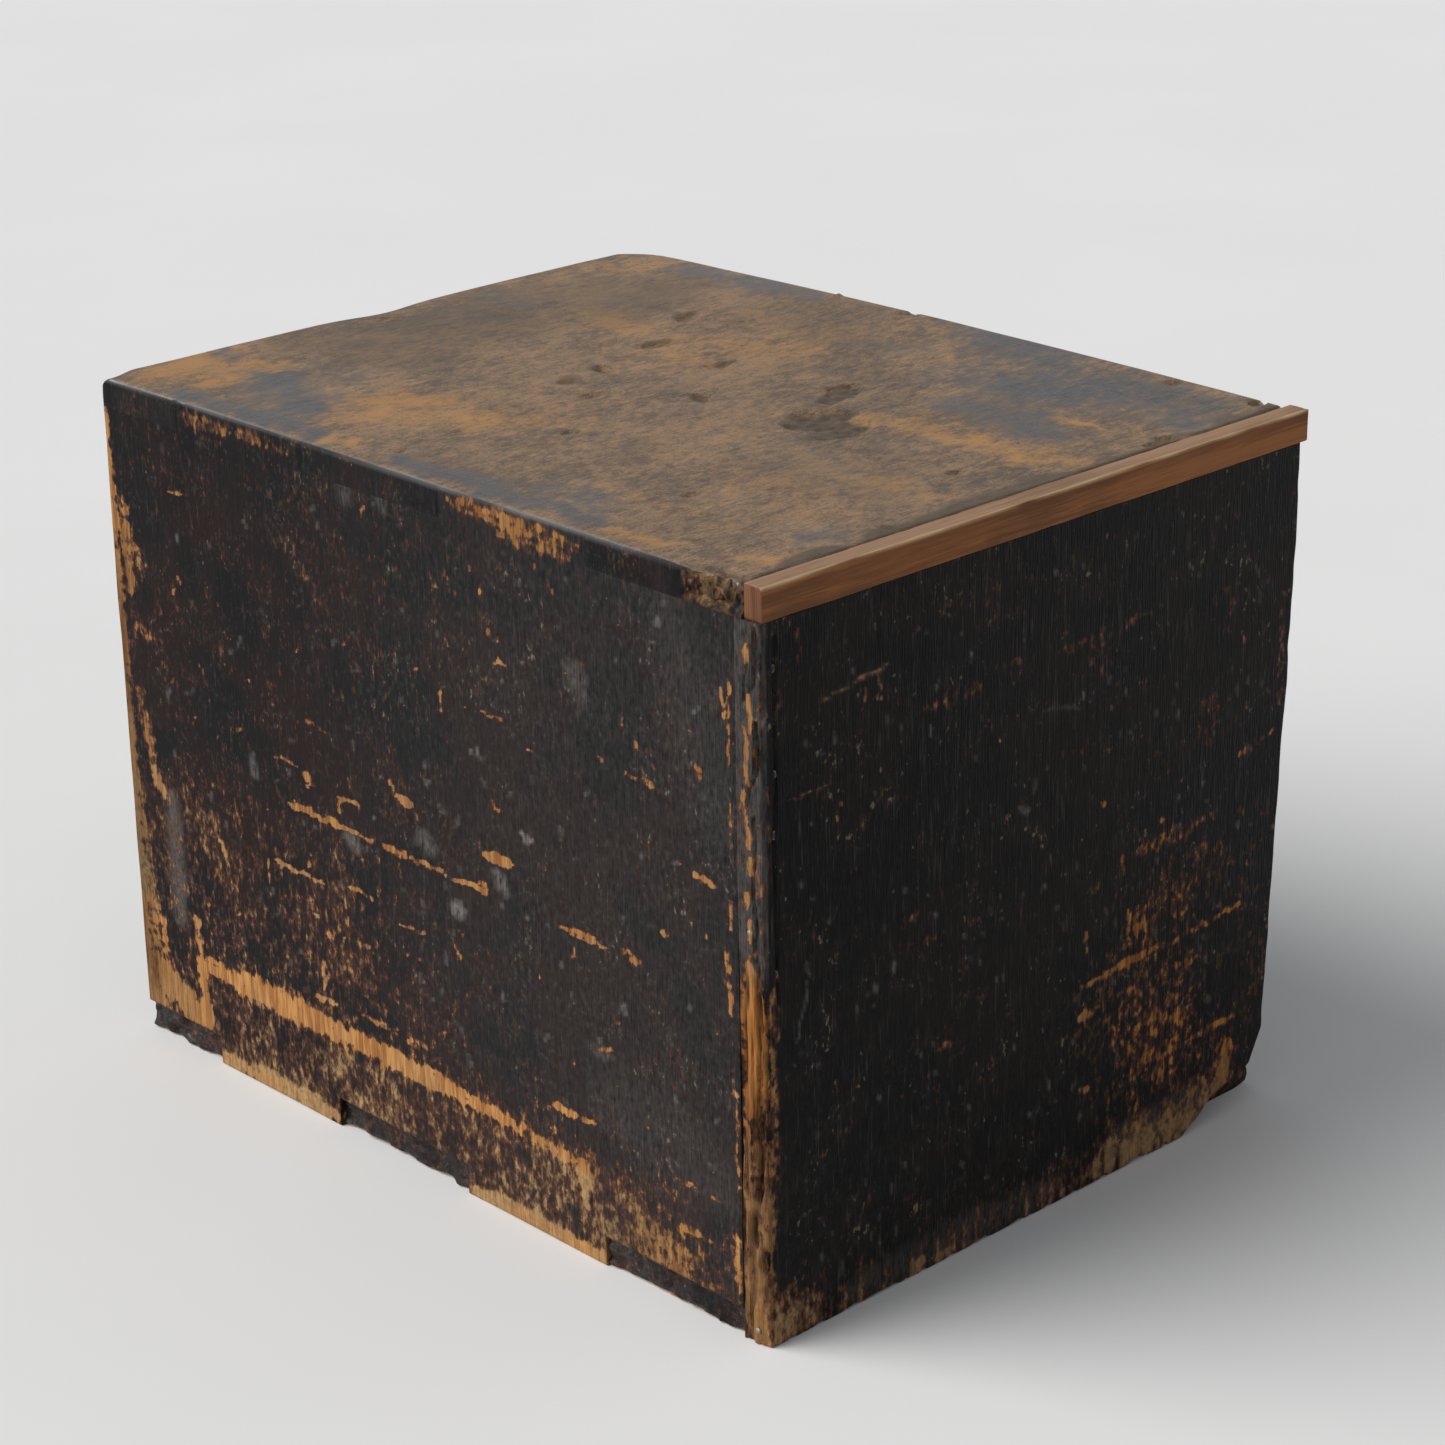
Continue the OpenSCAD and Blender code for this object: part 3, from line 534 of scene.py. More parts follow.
def worn_top(points):
    """The top's shape: dents, a hollow in the front edge, a chipped left edge and the eaten corner."""
    moved = handled(points)
    x, y, z = points.T
    upper = step_up(z, top_under, case_h)
    dent_deep = 2
    u, v = strayed(points, (0, 1), 3, 6, 81)
    inside = step_up(np.minimum(case_high[0] - np.abs(x), y - case_front), board_t, board_t + 12)
    ripple = 0.2 * (1 + drift(points, (24, 12, 24), 84)) + 0.1 * (1 + drift(points, (9, 3, 9), 89))
    moved[:, 2] -= upper * dent_deep * marked(u, v, dents, 0.4) * (0.8 + 0.5 * drift(points, 3, 83))
    moved[:, 2] -= upper * ripple * inside
    strip_gap, strip_gap_deep = 2.6, 1.5
    moved[:, 2] -= upper * strip_gap_deep * step_up(y, top_high[1] - strip_gap, top_high[1] - 0.4)
    hollow_x, hollow_half, hollow_deep = 4, 22, 5
    hollow = np.exp(-(((x - hollow_x) / hollow_half) ** 2)) * hollow_deep + 0.5 * (1 + drift(points, 30, 85))
    moved[:, 1] += hollow * step_up(y, case_front + 34, case_front) * (0.25 + 0.75 * upper)
    eaten = worm_eaten(points) * step_up(z, top_under, top_under + 5)
    rough = 2 + 1.2 * drift(points, 5, 86) + 1.5 * drift(points, 1.9, 87)
    moved[:, 0] -= eaten * np.clip(rough, 0, 5)
    moved[:, 2] -= eaten * np.clip(1 + 1.4 * drift(points, 3, 88), 0, 3)
    chip_y, chip_half, chip_reach, chip_in, chip_up = -65, 4, 9, 2.2, 1.1
    at_edge = step_up(x, case_low[0] + chip_reach, case_low[0])
    chip = np.clip(1 - np.abs(y - chip_y) / chip_half, 0, 1) * at_edge
    moved[:, 0] += chip_in * chip * (y < chip_y)
    moved[:, 2] += chip_up * chip * (y > chip_y) * upper
    return moved


def arris(points):
    """1 along the upper edges of the two sides, where hands have polished the lacquer."""
    x, y, z = points.T
    off = np.hypot(case_high[0] - np.abs(x), case_h - z)
    return np.clip(1.4 - off / 1.6, 0, 1) * np.clip(0.7 + 0.8 * drift(points, (9, 26, 9), 94), 0, 1)


def top_tones(points):
    """Where the film, warm wood and stains of the case's upper face lie, and a painted shadow line where it meets
    the cap strip.
    """
    u, v = strayed(points, (0, 1), 6, (16, 8, 16), 91)
    film = marked(u, v, film_left, 1.6) + 0.15 * drift(points, (26, 14, 26), 93)
    eaten = worm_eaten(points) * (0.8 + 0.5 * drift(points, 2.4, 97))
    stains_and_strip_shadow = np.maximum(0.8 * marked(u, v, dents, 0.4), eaten)
    # These marks include the painted shadow line along the cap strip as well as stains.
    stains_and_strip_shadow = np.maximum(stains_and_strip_shadow, marked(u, v, dull_rubs_and_strip_shadow))
    return {
        "bare": 1.02 - 0.92 * film,
        "pale": np.clip(marked(u, v, orange_rubs, 1.5) + 0.2 * drift(points, 14, 96), 0, 1),
        "haze_and_sheen": np.zeros(len(points)),
        "grime": np.clip(stains_and_strip_shadow + 0.12 * (1 + drift(points, 22, 98)) + 0.2 * seam(points), 0, 1),
        "gloss": arris(points),
    }


def is_above(points):
    """Which points lie on the upper face, inside its arrises."""
    x, y, z = points.T
    return (z > case_h - 0.5) & (np.abs(x) < case_high[0] - 0.5) & (y > case_front + 0.5)


def with_upper_face(points, beside):
    """The tones of the case's upper face where points lie on it, and the ones given elsewhere."""
    above, on_top = top_tones(points), is_above(points)
    return {key: np.where(on_top, above[key], beside[key]) for key in beside}


def rim_tones(points):
    """Tones for the black edges of the top board."""
    eaten = worm_eaten(points) * (0.7 + 0.5 * drift(points, 4, 102))
    in_front = points[:, 1] < case_front + 1
    rubbed_front = 0.36 + 0.25 * drift(points, (30, 9, 6), 107)
    return {
        "bare": np.where(in_front, rubbed_front, 0.09 + 0.08 * drift(points, 36, 95) + 0.8 * eaten),
        "pale": np.where(in_front, 0.4, 0.9),
        "haze_and_sheen": 0.02 * (1 + drift(points, 12, 99)),
        "grime": np.clip(0.4 * seam(points) + eaten * (0.95 + 0.6 * drift(points, 2, 100)), 0, 1),
        "gloss": arris(points),
    }


top_grid = [
    lines([top_low[0], top_high[0], left_high[0], right_low[0]], 1.45, 1.1, board_t),
    lines([top_low[1], top_high[1], *finger_ends], 1.45, 1.1, 14),
    lines([top_low[2], top_high[2]], 1.2, 1.2, 3),
]
points, faces, ways = skin(top_grid, flat_wood, plain=toward_floor)
tones = with_upper_face(points, rim_tones(points))
ends = np.concatenate([ways[toward_right], ways[toward_left]])
edges = np.concatenate([ways[toward_front], ways[toward_back]])
finishes = [top_brown, upright_lacquer, cross_lacquer, cross_wood]
top = piece("top_board_worn", worn_top(points), faces, finishes, tones, ends, edges, ways[toward_floor])
fit(top, "case", "lacquered_wood", "top_board")

# Side boards
# Two planks with upright grain, finger jointed to the top and bottom and grooved inside for the shelves.
# They are lacquered nearly black outside, on a red-brown ground, and bare inside.

upright_wood = planed_wood("upright_inner_wood", 2, inner_light, inner_dark, inner_dirt)


def knocks(seed, count, low, high, run_u, run_v):
    """Chance marks between two corners of a face, with a usual length along u and v in mm."""
    rng = np.random.default_rng(seed)
    starts = rng.uniform(low, high, (count, 2))
    runs = rng.normal(0, 1, (count, 2)) * (run_u, run_v)
    halves = rng.uniform(0.7, 1.3, count)
    strengths = rng.uniform(0.35, 0.9, count)
    return [
        (u, v, u + du, v + dv, half, strength)
        for (u, v), (du, dv), half, strength in zip(starts, runs, halves, strengths)
    ]


# Marks on the side boards: Y and Z of both ends, half width and strength
right_marks = [
    (-156, 48, -60, 48, 6.5, 1), (-60, 48, 24, 47, 5.5, 1), (24, 46.5, 56, 46, 3.5, 0.9),
    (56, 45, 96, 42, 3, 0.55), (-208, 318, -208, 4, 4, 0.9), (-200, 262, -198, 222, 6, 0.72),
    (-192, 244, -189, 234, 3.5, 0.66), (-196, 205, -186, 202, 4, 0.66), (-199, 176, -188, 132, 4.5, 0.66),
    (-190, 136, -184, 126, 4, 0.75), (-205, 120, -203, 14, 7, 0.7), (-200, 32, -168, 20, 8, 0.95),
    (-166, 70, -161, 16, 3.5, 0.95), (-196, 66, -193, 40, 5, 0.6), (-150, 3, -68, 4, 6, 0.9),
    (30, 3, 116, 3, 5, 0.95), (-88, 149, -30, 149.5, 1.5, 1), (-82, 150, -72, 150, 2.4, 1),
    (-21, 149, -8, 149.5, 2.2, 1), (-4, 149, 20, 148.5, 1.5, 1), (24, 148, 46, 148.5, 1.4, 1),
    (43, 150.5, 46, 151, 2.4, 1), (91, 148.5, 119, 147.5, 1.7, 1), (97, 146, 112, 146, 1, 0.9),
    (131, 149, 139, 147, 2.2, 0.85), (46, 165.5, 62, 166, 2.6, 1), (-16, 183, -12, 176, 1.1, 1),
    (-12, 176, -2, 174, 1.9, 1), (-52, 163.5, -38, 163.5, 1.5, 1), (-53, 157, -49, 162, 1.2, 0.9),
    (-97, 169.5, -80, 169.5, 1.2, 0.75), (-75, 167, -70, 164, 2, 0.8), (-100, 118.5, -66, 117.5, 1.2, 1),
    (-106, 118, -107, 106, 1.2, 0.7), (-48, 122, -32, 121, 1.5, 0.75), (-14, 116, 4, 116.5, 1, 0.85),
    (22, 118, 27, 113, 1.6, 0.8), (-45, 98, -34, 96, 2, 0.7), (-72, 84, -69, 64, 1.4, 0.7),
    (-76, 61, -62, 61, 2, 0.8), (-44, 62, -20, 62, 1.6, 0.65), (-12, 61, 6, 62, 2, 0.55),
    (84, 64, 108, 64.5, 1.9, 1), (154, 58, 184, 57, 1.6, 0.5), (160, 38, 178, 37, 1.5, 0.7),
    (160, 38, 161, 29, 1.4, 0.8), (100, 44, 103, 24, 2.4, 0.68), (172, 195.5, 184, 194, 1.7, 0.8),
    (174, 247, 176, 235, 2, 0.6), (134, 226, 150, 225, 1.6, 0.52), (-164, 277, -151, 277, 1, 0.9),
    (21, 234, 21, 222, 0.9, 1), (48, 228, 60, 229, 1, 0.75), (57, 253, 65, 253, 1, 0.8),
    (118, 228, 120, 226, 1.5, 0.9), (-72, 193, -54, 191.5, 1.1, 0.6), (-158, 118, -154, 104, 1.8, 0.6),
    (-142, 117, -140, 110, 1.6, 0.75), (112, 98, 122, 103, 2, 0.6), (28, 284, 30, 280, 1.4, 0.7),
    (50, 270, 58, 269, 1.4, 0.45), (188, 275, 192, 262, 1.4, 0.85), (193, 280, 193, 246, 1, 0.85),
    (192, 232, 193, 206, 1.2, 0.6), (191, 190, 192, 178, 1.4, 0.6), (190, 170, 192, 142, 2, 0.7),
    (193, 120, 194, 66, 1.4, 0.55), (193, 48, 194, 20, 1.6, 0.62), (52, 192, 54, 188, 1.3, 0.9),
    (-150, 314, -118, 312, 4.5, 0.46), (-110, 315, -74, 312, 4, 0.44), (34, 315, 110, 313, 5, 0.64),
    (60, 309, 104, 307, 3, 0.54), (-140, 309, -128, 307, 3, 0.46), (140, 22, 186, 8, 20, 0.36),
] + knocks(23, 150, (-180, 55), (188, 300), 1, 2.2)
right_haze = [
    (-178, 126, -178, 66, 6, 0.4), (54, 158, 58, 153, 4.5, 0.5), (4, 160, 10, 158, 5, 0.34),
    (24, 135, 29, 134, 4, 0.7), (-113, 164, -113, 155, 2.6, 0.45), (-48, 146, -40, 143, 3.4, 0.5),
    (104, 262, 108, 252, 6, 0.2), (70, 182, 74, 180, 2, 0.9), (108, 100, 120, 98, 3, 0.2),
    (-38, 318, -36, 300, 5, 0.2), (-14, 316, -12, 302, 4, 0.2), (160, 300, 186, 220, 16, 0.06),
    (120, 80, 180, 66, 20, 0.07),
]
left_marks = [
    (-208, 316, -208, 6, 4, 0.8), (-199, 240, -196, 190, 6, 0.6), (-203, 70, -200, 10, 7, 0.7),
    (-150, 3, -68, 4, 5, 0.9), (30, 3, 116, 3, 5, 0.9), (-120, 314, -70, 312, 5, 0.65),
    (36, 313, 108, 312, 5, 0.65), (193, 260, 194, 210, 1.4, 0.7), (192, 160, 193, 120, 1.4, 0.65),
    (-60, 58, 90, 61, 3, 0.6), (-120, 210, -70, 211, 1.5, 0.85), (20, 176, 64, 174, 1.7, 0.85),
    (110, 132, 150, 133, 1.6, 0.75), (-20, 96, 2, 95, 2.2, 0.85),
] + knocks(41, 90, (-190, 40), (185, 300), 0.9, 2)
left_haze = [(-150, 160, -148, 126, 4, 0.35), (40, 250, 52, 244, 4, 0.3), (90, 90, 99, 88, 3, 0.4)]


def side_tones(points, marks, haze_and_sheen, seed):
    """How far a side board's lacquer has gone, and the tones of what shows."""
    x, y, z = points.T
    v, w = strayed(points, (1, 2), 1.5, 4, seed)
    low_down = step_up(z, 200, 70)
    scuffed = step_up(z, 62, 34) * step_up(y, 185, 110)
    weathered = scuffed * (0.5 + 0.5 * step_up(z, 5, 10)) * step_up(z, 42, 38) * step_up(y, -162, -152)
    behind = step_up(y, -20, 100) * step_up(z, 40, 75)
    flecked = 0.09 + 0.08 * low_down * (1 - behind) - 0.09 * behind + 0.08 * drift(points, 36, seed + 2)
    rubbed = 0.26 + 0.14 * drift(points, (5, 5, 9), seed + 3) + 0.12 * drift(points, 30, seed + 5)
    flaking = step_up(z, 160, 120) * step_up(z, 50, 80) * step_up(y, 0, -60)
    glazed = marked(v, w, [(126, 26, 192, 12, 26, 1)], 1.6)
    mottled = scuffed * rubbed + 0.12 * flaking + 0.08 * glazed
    broken = 0.85 + 0.3 * drift(points, (20, 5, 2), seed + 9)
    edge_on = y < case_front + 0.1
    rubbed_edge = 0.4 + 0.25 * drift(points, (9, 9, 22), seed + 6)
    handhold = step_up(y, -190, -204) * step_up(z, 4, 40) * (1 - 0.7 * step_up(z, 210, 270))
    smoked = 0.24 * step_up(z, 60, 180) + 0.12 * step_up(z, 260, 300)
    smoked *= 1 - 0.8 * step_up(y, -195, -205)
    footed = 0.22 * step_up(y, -150, -175) * step_up(z, 55, 35)
    ticks = knocks(seed + 18, 130, (-175, 55), (188, 305), 0.9, 2.8)
    dulled = np.maximum(marked(v, w, haze_and_sheen), 0.5 * marked(v, w, ticks))
    beside = {
        "bare": np.where(edge_on, rubbed_edge, np.maximum(flecked, marked(v, w, marks) * broken) + mottled),
        "pale": np.clip(weathered + 0.5 * flaking + 0.3 * drift(points, 20, seed + 4), 0, 1),
        # Towards the rear the film is greyed more: a painted sheen, the light's reflection on the lacquer put in
        # as colour.
        "haze_and_sheen": dulled + 0.085 * step_up(y, -150, 130),
        "grime": np.clip(0.35 * seam(points) + 0.55 * handhold + 0.35 * glazed + smoked + footed, 0, 1),
        "gloss": arris(points),
    }
    return with_upper_face(points, beside)


def side_board(name, outward, shelves, marks, haze_and_sheen, seed):
    """A side board that faces along X, with grooves for the named shelves."""
    low, high = box_mm(name)
    housed = [box_mm(shelf) for shelf in shelves]
    groove = {corner[0] for pair in housed for corner in pair if low[0] < corner[0] < high[0]}
    grid = [
        lines([low[0], high[0], *groove], 1.3, 1.3, 2.6),
        lines([low[1], high[1], *finger_ends], 2, 1.1, 12),
        lines([low[2], high[2], board_t, top_under, *[c[2] for pair in housed for c in pair]], 1, 1, 16),
    ]

    def wood(x, y, z):
        filled = ((z > board_t) & (z < top_under)) | on_side_finger(y)
        for shelf_low, shelf_high in housed:
            filled &= ~((x > shelf_low[0]) & (x < shelf_high[0]) & (z > shelf_low[2]) & (z < shelf_high[2]))
        return filled

    inward = (0, -outward)
    points, faces, ways = skin(grid, wood, plain=inward)
    tones = side_tones(points, marks, haze_and_sheen, seed)
    finishes = [upright_lacquer, upright_wood, top_brown]
    made = piece(name + "_worn", handled(points), faces, finishes, tones, ways[inward], ways[toward_top])
    fit(made, "case", "lacquered_wood", name)


side_board("right_side_board", 1, ["upper_shelf", "lower_shelf", "small_shelf"], right_marks, right_haze, 11)
side_board("left_side_board", -1, ["upper_shelf", "lower_shelf"], left_marks, left_haze, 51)

# Bottom board
# A plank with the grain across, whose fingers show between those of the side boards. Damp floors have
# rotted the finger ends back and left them dark. Its underside was never lacquered.

bottom_low, bottom_high = box_mm("bottom_board")


def rotted(points):
    """The bottom board with the ends of its fingers eaten back."""
    moved = handled(points)
    x, y, z = points.T
    usual, least, most, under, under_reach = 2.2, 0.3, 4.5, 1.2, 4
    end = step_up(np.abs(x), right_low[0] + 2, right_high[0])
    eaten = usual + 1.6 * drift(points, (9, 9, 5), 61) + 0.7 * drift(points, 2.2, 62)
    moved[:, 0] -= np.sign(x) * end * np.clip(eaten, least, most)
    moved[:, 2] += end * step_up(z, under_reach, 0) * (under + 0.8 * drift(points, 6, 63))
    return moved


bottom_grid = [
    lines([bottom_low[0], left_high[0], right_low[0], bottom_high[0]], 4, 1.2, board_t),
    lines([bottom_low[1], bottom_high[1], *finger_ends], 1.8, 1.2, 10),
    lines([bottom_low[2], bottom_high[2]], 1.4, 1.2, 3),
]
points, faces, ways = skin(bottom_grid, flat_wood, plain=toward_top)
finger_tip = step_up(np.abs(points[:, 0]), right_low[0] + 6, right_high[0] - 1)
rubbed_front = 0.34 + 0.25 * drift(points, (26, 9, 9), 64)
tones = {
    "bare": np.where(finger_tip > 0.5, 0.16 + 0.16 * drift(points, 9, 67), rubbed_front),
    "pale": 0.5 + 0.4 * drift(points, 18, 68),
    "haze_and_sheen": 0.06 * (1 + drift(points, 8, 65)) * finger_tip,
    "grime": np.clip(0.3 + 0.4 * finger_tip + 0.35 * drift(points, 10, 66), 0, 1),
}
raw_sides = np.concatenate([ways[toward_top], ways[toward_floor]])
bottom = piece("bottom_board_worn", rotted(points), faces, [cross_lacquer, cross_wood], tones, raw_sides)
fit(bottom, "case", "lacquered_wood", "bottom_board")

# Shelves, partition and door stop
# Thin planed boards of the same softwood, lacquered only on their front edges. The shelves are let into
# the side boards, the partition into the shelves and the small shelf into both.

deep_wood = planed_wood("deep_inner_wood", 1, inner_light, inner_dark, inner_dirt)


def whole_wood(x, y, z):
    """All the cells of a board, with nothing cut out."""
    return np.ones(x.shape, bool)


def plank(name, node, step, finishes, shape, tones=None, cut=()):
    """A board from a node's box, less the boxes in cut. shape moves its points and tones gives their
    attributes, both from the points and the box. The second finish is for all but its front."""
    low, high = box_mm(node)
    rim_step, rim_w = 0.75, 3
    grid = []
    for axis in range(3):
        stops = {corner[axis] for pair in cut for corner in pair if low[axis] < corner[axis] < high[axis]}
        rim = min(rim_w, (high[axis] - low[axis]) / 2)
        grid.append(lines([low[axis], high[axis], *stops], step, rim_step, rim))

    def wood(x, y, z):
        filled = whole_wood(x, y, z)
        for c, d in cut:
            filled &= ~((x > c[0]) & (x < d[0]) & (y > c[1]) & (y < d[1]) & (z > c[2]) & (z < d[2]))
        return filled

    points, faces, ways = skin(grid, wood)
    second = np.setdiff1d(np.arange(len(faces)), ways[toward_front]) if len(finishes) > 1 else ()
    tones = tones(points, low, high) if tones else None
    return piece(name, shape(points, low, high), faces, finishes, tones, second)


def softened(points, low, high):
    """A planed board: its arrises taken off and its faces very slightly hollow."""
    arris_r, hollow, hollow_mm = 0.7, 0.1, 45
    moved = rounded(points, low, high, arris_r + 0.3 * drift(points, 20, 71))
    for axis in range(3):
        for plane, inward in ((low[axis], 1), (high[axis], -1)):
            near = np.clip(1 - np.abs(points[:, axis] - plane), 0, 1)
            moved[:, axis] += inward * near * hollow * (1 + drift(points, hollow_mm, 72))
    return moved


def front_wear(seed, grip=None):
    """Tones for a lacquered front: worn along its edges, flecked, and rubbed round a grip at (x, z)."""
    grip_half_w, grip_half_h, below_grip, out_of_reach, fleck_every = 26, 15, 14, 200, 8

    def tones(points, low, high):
        x, y, z = points.T
        sides = np.stack([x - low[0], high[0] - x, z - low[2], high[2] - z])
        edge = np.clip(1 - sides.min(axis=0) / (2.6 + 1.8 * drift(points, 14, seed)), 0, 1)
        edge *= np.clip(0.55 + 0.75 * drift(points, (18, 9, 18), seed + 5), 0.1, 1)
        across, up = grip if grip is not None else (low[0] - out_of_reach, low[2])
        off_x, off_z = (x - across) / grip_half_w, (z - up + below_grip) / grip_half_h
        rub = np.exp(-(off_x**2 + off_z**2))
        flecks = int((high[0] - low[0]) / fleck_every)
        chance = knocks(seed, flecks, low[[0, 2]], high[[0, 2]], 3, 1)
        bare = 0.07 + 0.08 * drift(points, 26, seed + 1)
        return {
            "bare": bare + np.maximum(0.55 * edge, marked(x, z, chance)) + 0.2 * rub,
            "pale": 0.3 + 0.3 * drift(points, 30, seed + 4),
            "haze_and_sheen": 0.25 * rub + 0.1 * (1 + drift(points, 34, seed + 2)),
            "grime": 0.3 * rub * (1 + drift(points, 6, seed + 3)) + 0.15,
        }

    return tones


mortise = next(o["box_m"] for o in frame["record"]["physics"]["openings"] if o["name"] == "bolt_mortise")
mortise_cut = [np.array(corner) / mm for corner in mortise]
inner_boards = {
    "upper_shelf": (cross_lacquer, cross_wood, [box_mm("partition")]),
    "lower_shelf": (cross_lacquer, cross_wood, [box_mm("partition")]),
    "partition": (upright_lacquer, upright_wood, [box_mm("small_shelf"), mortise_cut]),
    "small_shelf": (cross_lacquer, cross_wood, []),
    "door_stop": (cross_wood, cross_wood, []),
}
for number, (node, (edge_finish, finish, cut)) in enumerate(inner_boards.items()):
    tones = front_wear(151 + 7 * number)
    made = plank(node + "_planed", node, 5, [edge_finish, finish], softened, tones, cut)
    fit(made, "case", "inner_wood", node)

# Back panel
# One wide plank with upright grain, pegged on behind the case. Its near edge is split and tunnelled by
# insects, its foot is frayed, its far edge leans in and the far lower corner has broken off.

panel_film = tint(8, 8, 9), tint(19, 15, 13)
panel_wood = tint(124, 76, 38), tint(176, 118, 62)
panel_dust, panel_grey = tint(54, 51, 48), tint(150, 120, 85)
panel_lacquer = worn_lacquer("panel_lacquer", 2, panel_film, panel_wood, panel_grey, panel_dust, 0.07, 1.1)
far_edge = [(0, -96), (7, -108), (13.5, -116), (20, -142), (36, -150), (110, -153), (160, -155.5)]
far_edge += [(262, -160)]
# Marks on the panel's face, by X and Z, and below on its near edge, by Y and Z
panel_marks = [
    (-25, 97, -75, 99.5, 1.9, 0.8), (-85, 99, -130, 102, 2, 0.72), (-25, 83, -31, 83, 3, 0.85),
    (-38, 85, -60, 85.5, 1.3, 0.52), (-60, 82, -72, 80, 4, 0.55), (-86, 86, -104, 86, 2.4, 0.56),
    (-80, 46, -130, 48.5, 2.4, 0.66), (-26, 48, -32, 48, 2.4, 0.8), (-55, 123, -55, 110, 2, 0.8),
    (-61, 123, -61, 108, 2, 0.85), (-66, 122, -66, 110, 1.4, 0.75), (-28, 123, -27, 112, 1.8, 0.65),
    (-50, 152, -51, 141, 1.6, 0.66), (-64, 150, -82, 151, 2.4, 0.5), (-30, 141, -34, 140, 2.6, 0.5),
    (-64, 60, -100, 62, 4, 0.5), (-70, 50, -100, 42, 6, 0.5), (-90, 60, -92, 58, 2.6, 0.75),
    (-122, 18, -125, 36, 5, 0.85), (-127, 146, -129, 146, 4, 0.5), (-126, 174, -150, 178, 3, 0.52),
    (-60, 34, -66, 8, 7, 0.52), (-100, 20, -118, 14, 7, 0.52), (-45, 16, -48, 3, 4, 0.8),
    (-85, 22, -86, 4, 4, 0.66), (72, 6, 76, 2, 4, 0.8), (56, 3, 60, 2, 3, 0.7), (152, 10, 158, 4, 7, 0.6),
    (-40, 8, -130, 8, 10, 0.45), (20, 104, 18, 98, 2, 0.5), (62, 98, 54, 99, 2, 0.5),
    (152, 233, 122, 231.5, 1, 0.55), (20, 255, 16, 253, 2, 0.6), (77, 162, 82, 160, 3, 0.35),
    (155, 160, 156, 60, 4, 0.6), (158, 150, 158, 100, 4, 0.9), (157, 95, 157, 20, 3, 0.6),
    (158, 240, 158, 205, 3, 0.5), (-152, 240, -152, 190, 2.5, 0.42), (140, 300, 140, 278, 1, 0.45),
    (126, 106, 119, 104, 2, 0.42), (130, 268, 106, 271, 0.9, 0.55), (110, 271, 92, 272, 1.2, 0.7),
    (97, 270, 96, 264, 0.9, 0.6),
] + knocks(133, 34, (-140, 20), (145, 295), 0.6, 2)
ground_marks = [
    (-30, 242, -34, 244, 12, 0.24), (40, 250, 74, 248, 4, 0.25), (-8, 252, -64, 254, 3.5, 0.27),
    (-70, 190, -74, 180, 7, 0.24), (-100, 205, -104, 190, 9, 0.24), (-10, 205, -30, 205, 4, 0.24),
    (-60, 148, -110, 150, 4, 0.3), (60, 150, 100, 150, 2, 0.2), (-110, 250, -120, 232, 9, 0.22),
    (150, 20, 140, 4, 12, 0.3), (-60, 70, -110, 30, 30, 0.36), (-40, 70, -100, 120, 34, 0.27),
    (-44, 60, -46, 20, 18, 0.22),
]
panel_haze = [
    (130, 268, 104, 271, 0.8, 0.2), (110, 271, 92, 272, 1, 0.25), (97, 270, 96, 264, 0.8, 0.2),
    (135, 158, 142, 130, 0.7, 0.3), (-10, 8, 110, 8, 8, 0.15), (-50, 14, -120, 14, 9, 0.2),
    (0, 229, -22, 224, 0.8, 0.2), (15, 190, 10, 188, 1.4, 0.35),
]
panel_ticks = knocks(143, 170, (-140, 15), (148, 292), 0.5, 2.4)


def way(stops, half, strength):
    """Marks along a path of points."""
    return [(*start, *end, half, strength) for start, end in zip(stops, stops[1:])]


galleries = way([(206.5, 304), (206.8, 290), (206.4, 283), (204.5, 279)], 0.9, 0.4)
galleries += way([(203, 290), (200.5, 282), (201, 274)], 0.7, 0.3) + way([(206.8, 266), (207, 246)], 1.3, 0.9)
galleries += way([(206, 244), (203, 239), (202, 232), (205.5, 229), (206, 214), (205, 205)], 0.8, 0.4)
galleries += way([(205, 205), (204.4, 196), (206.4, 184), (205.4, 174), (207, 166), (207.4, 140)], 0.8, 0.4)
galleries += way([(206, 164), (205, 150), (206, 130), (205, 112), (206, 104)], 0.8, 0.35)
galleries += way([(207.4, 104), (207, 92), (206, 78), (205.4, 66)], 1.3, 0.55)
galleries += way([(203, 60), (202, 52), (203, 44)], 1.6, 0.4) + way([(208, 42), (207, 34)], 1.8, 0.7)
edge_marks = [
    (202.5, 296, 202.5, 289, 1.8, 0.8), (203.5, 276, 204, 262, 1.5, 0.75), (206, 256, 206.5, 249, 1.4, 0.75),
    (201.5, 262, 202.5, 240, 1.7, 0.75), (200, 236, 201.5, 226, 1.9, 0.8), (202, 224, 203, 215, 1.8, 0.8),
    (202.5, 210, 203, 205, 1.6, 0.8), (201, 196, 201.5, 190, 1.6, 0.8), (202.5, 184, 203, 176, 1.3, 0.7),
    (202, 166, 202.6, 104, 4, 0.8), (207.6, 156, 207.8, 112, 1.6, 0.75), (205, 124, 205.6, 100, 1.8, 0.65),
    (200, 98, 199.4, 72, 1.8, 0.6), (204, 90, 204, 84, 1.8, 0.6), (200.4, 62, 203, 36, 3, 0.7),
    (203, 44, 205, 28, 3, 0.85), (201, 24, 206, 4, 5, 0.5), (207, 232, 206.6, 196, 2.2, 0.38),
]
tunnel_depth = 3.4


def cracks(points):
    """1 in the fine upright cracks of the panel's near edge, and 0 between them."""
    return np.clip(2.6 * drift(points, (20, 1.7, 26), 123) - 0.5 + 0.6 * drift(points, 5, 124), 0, 1)


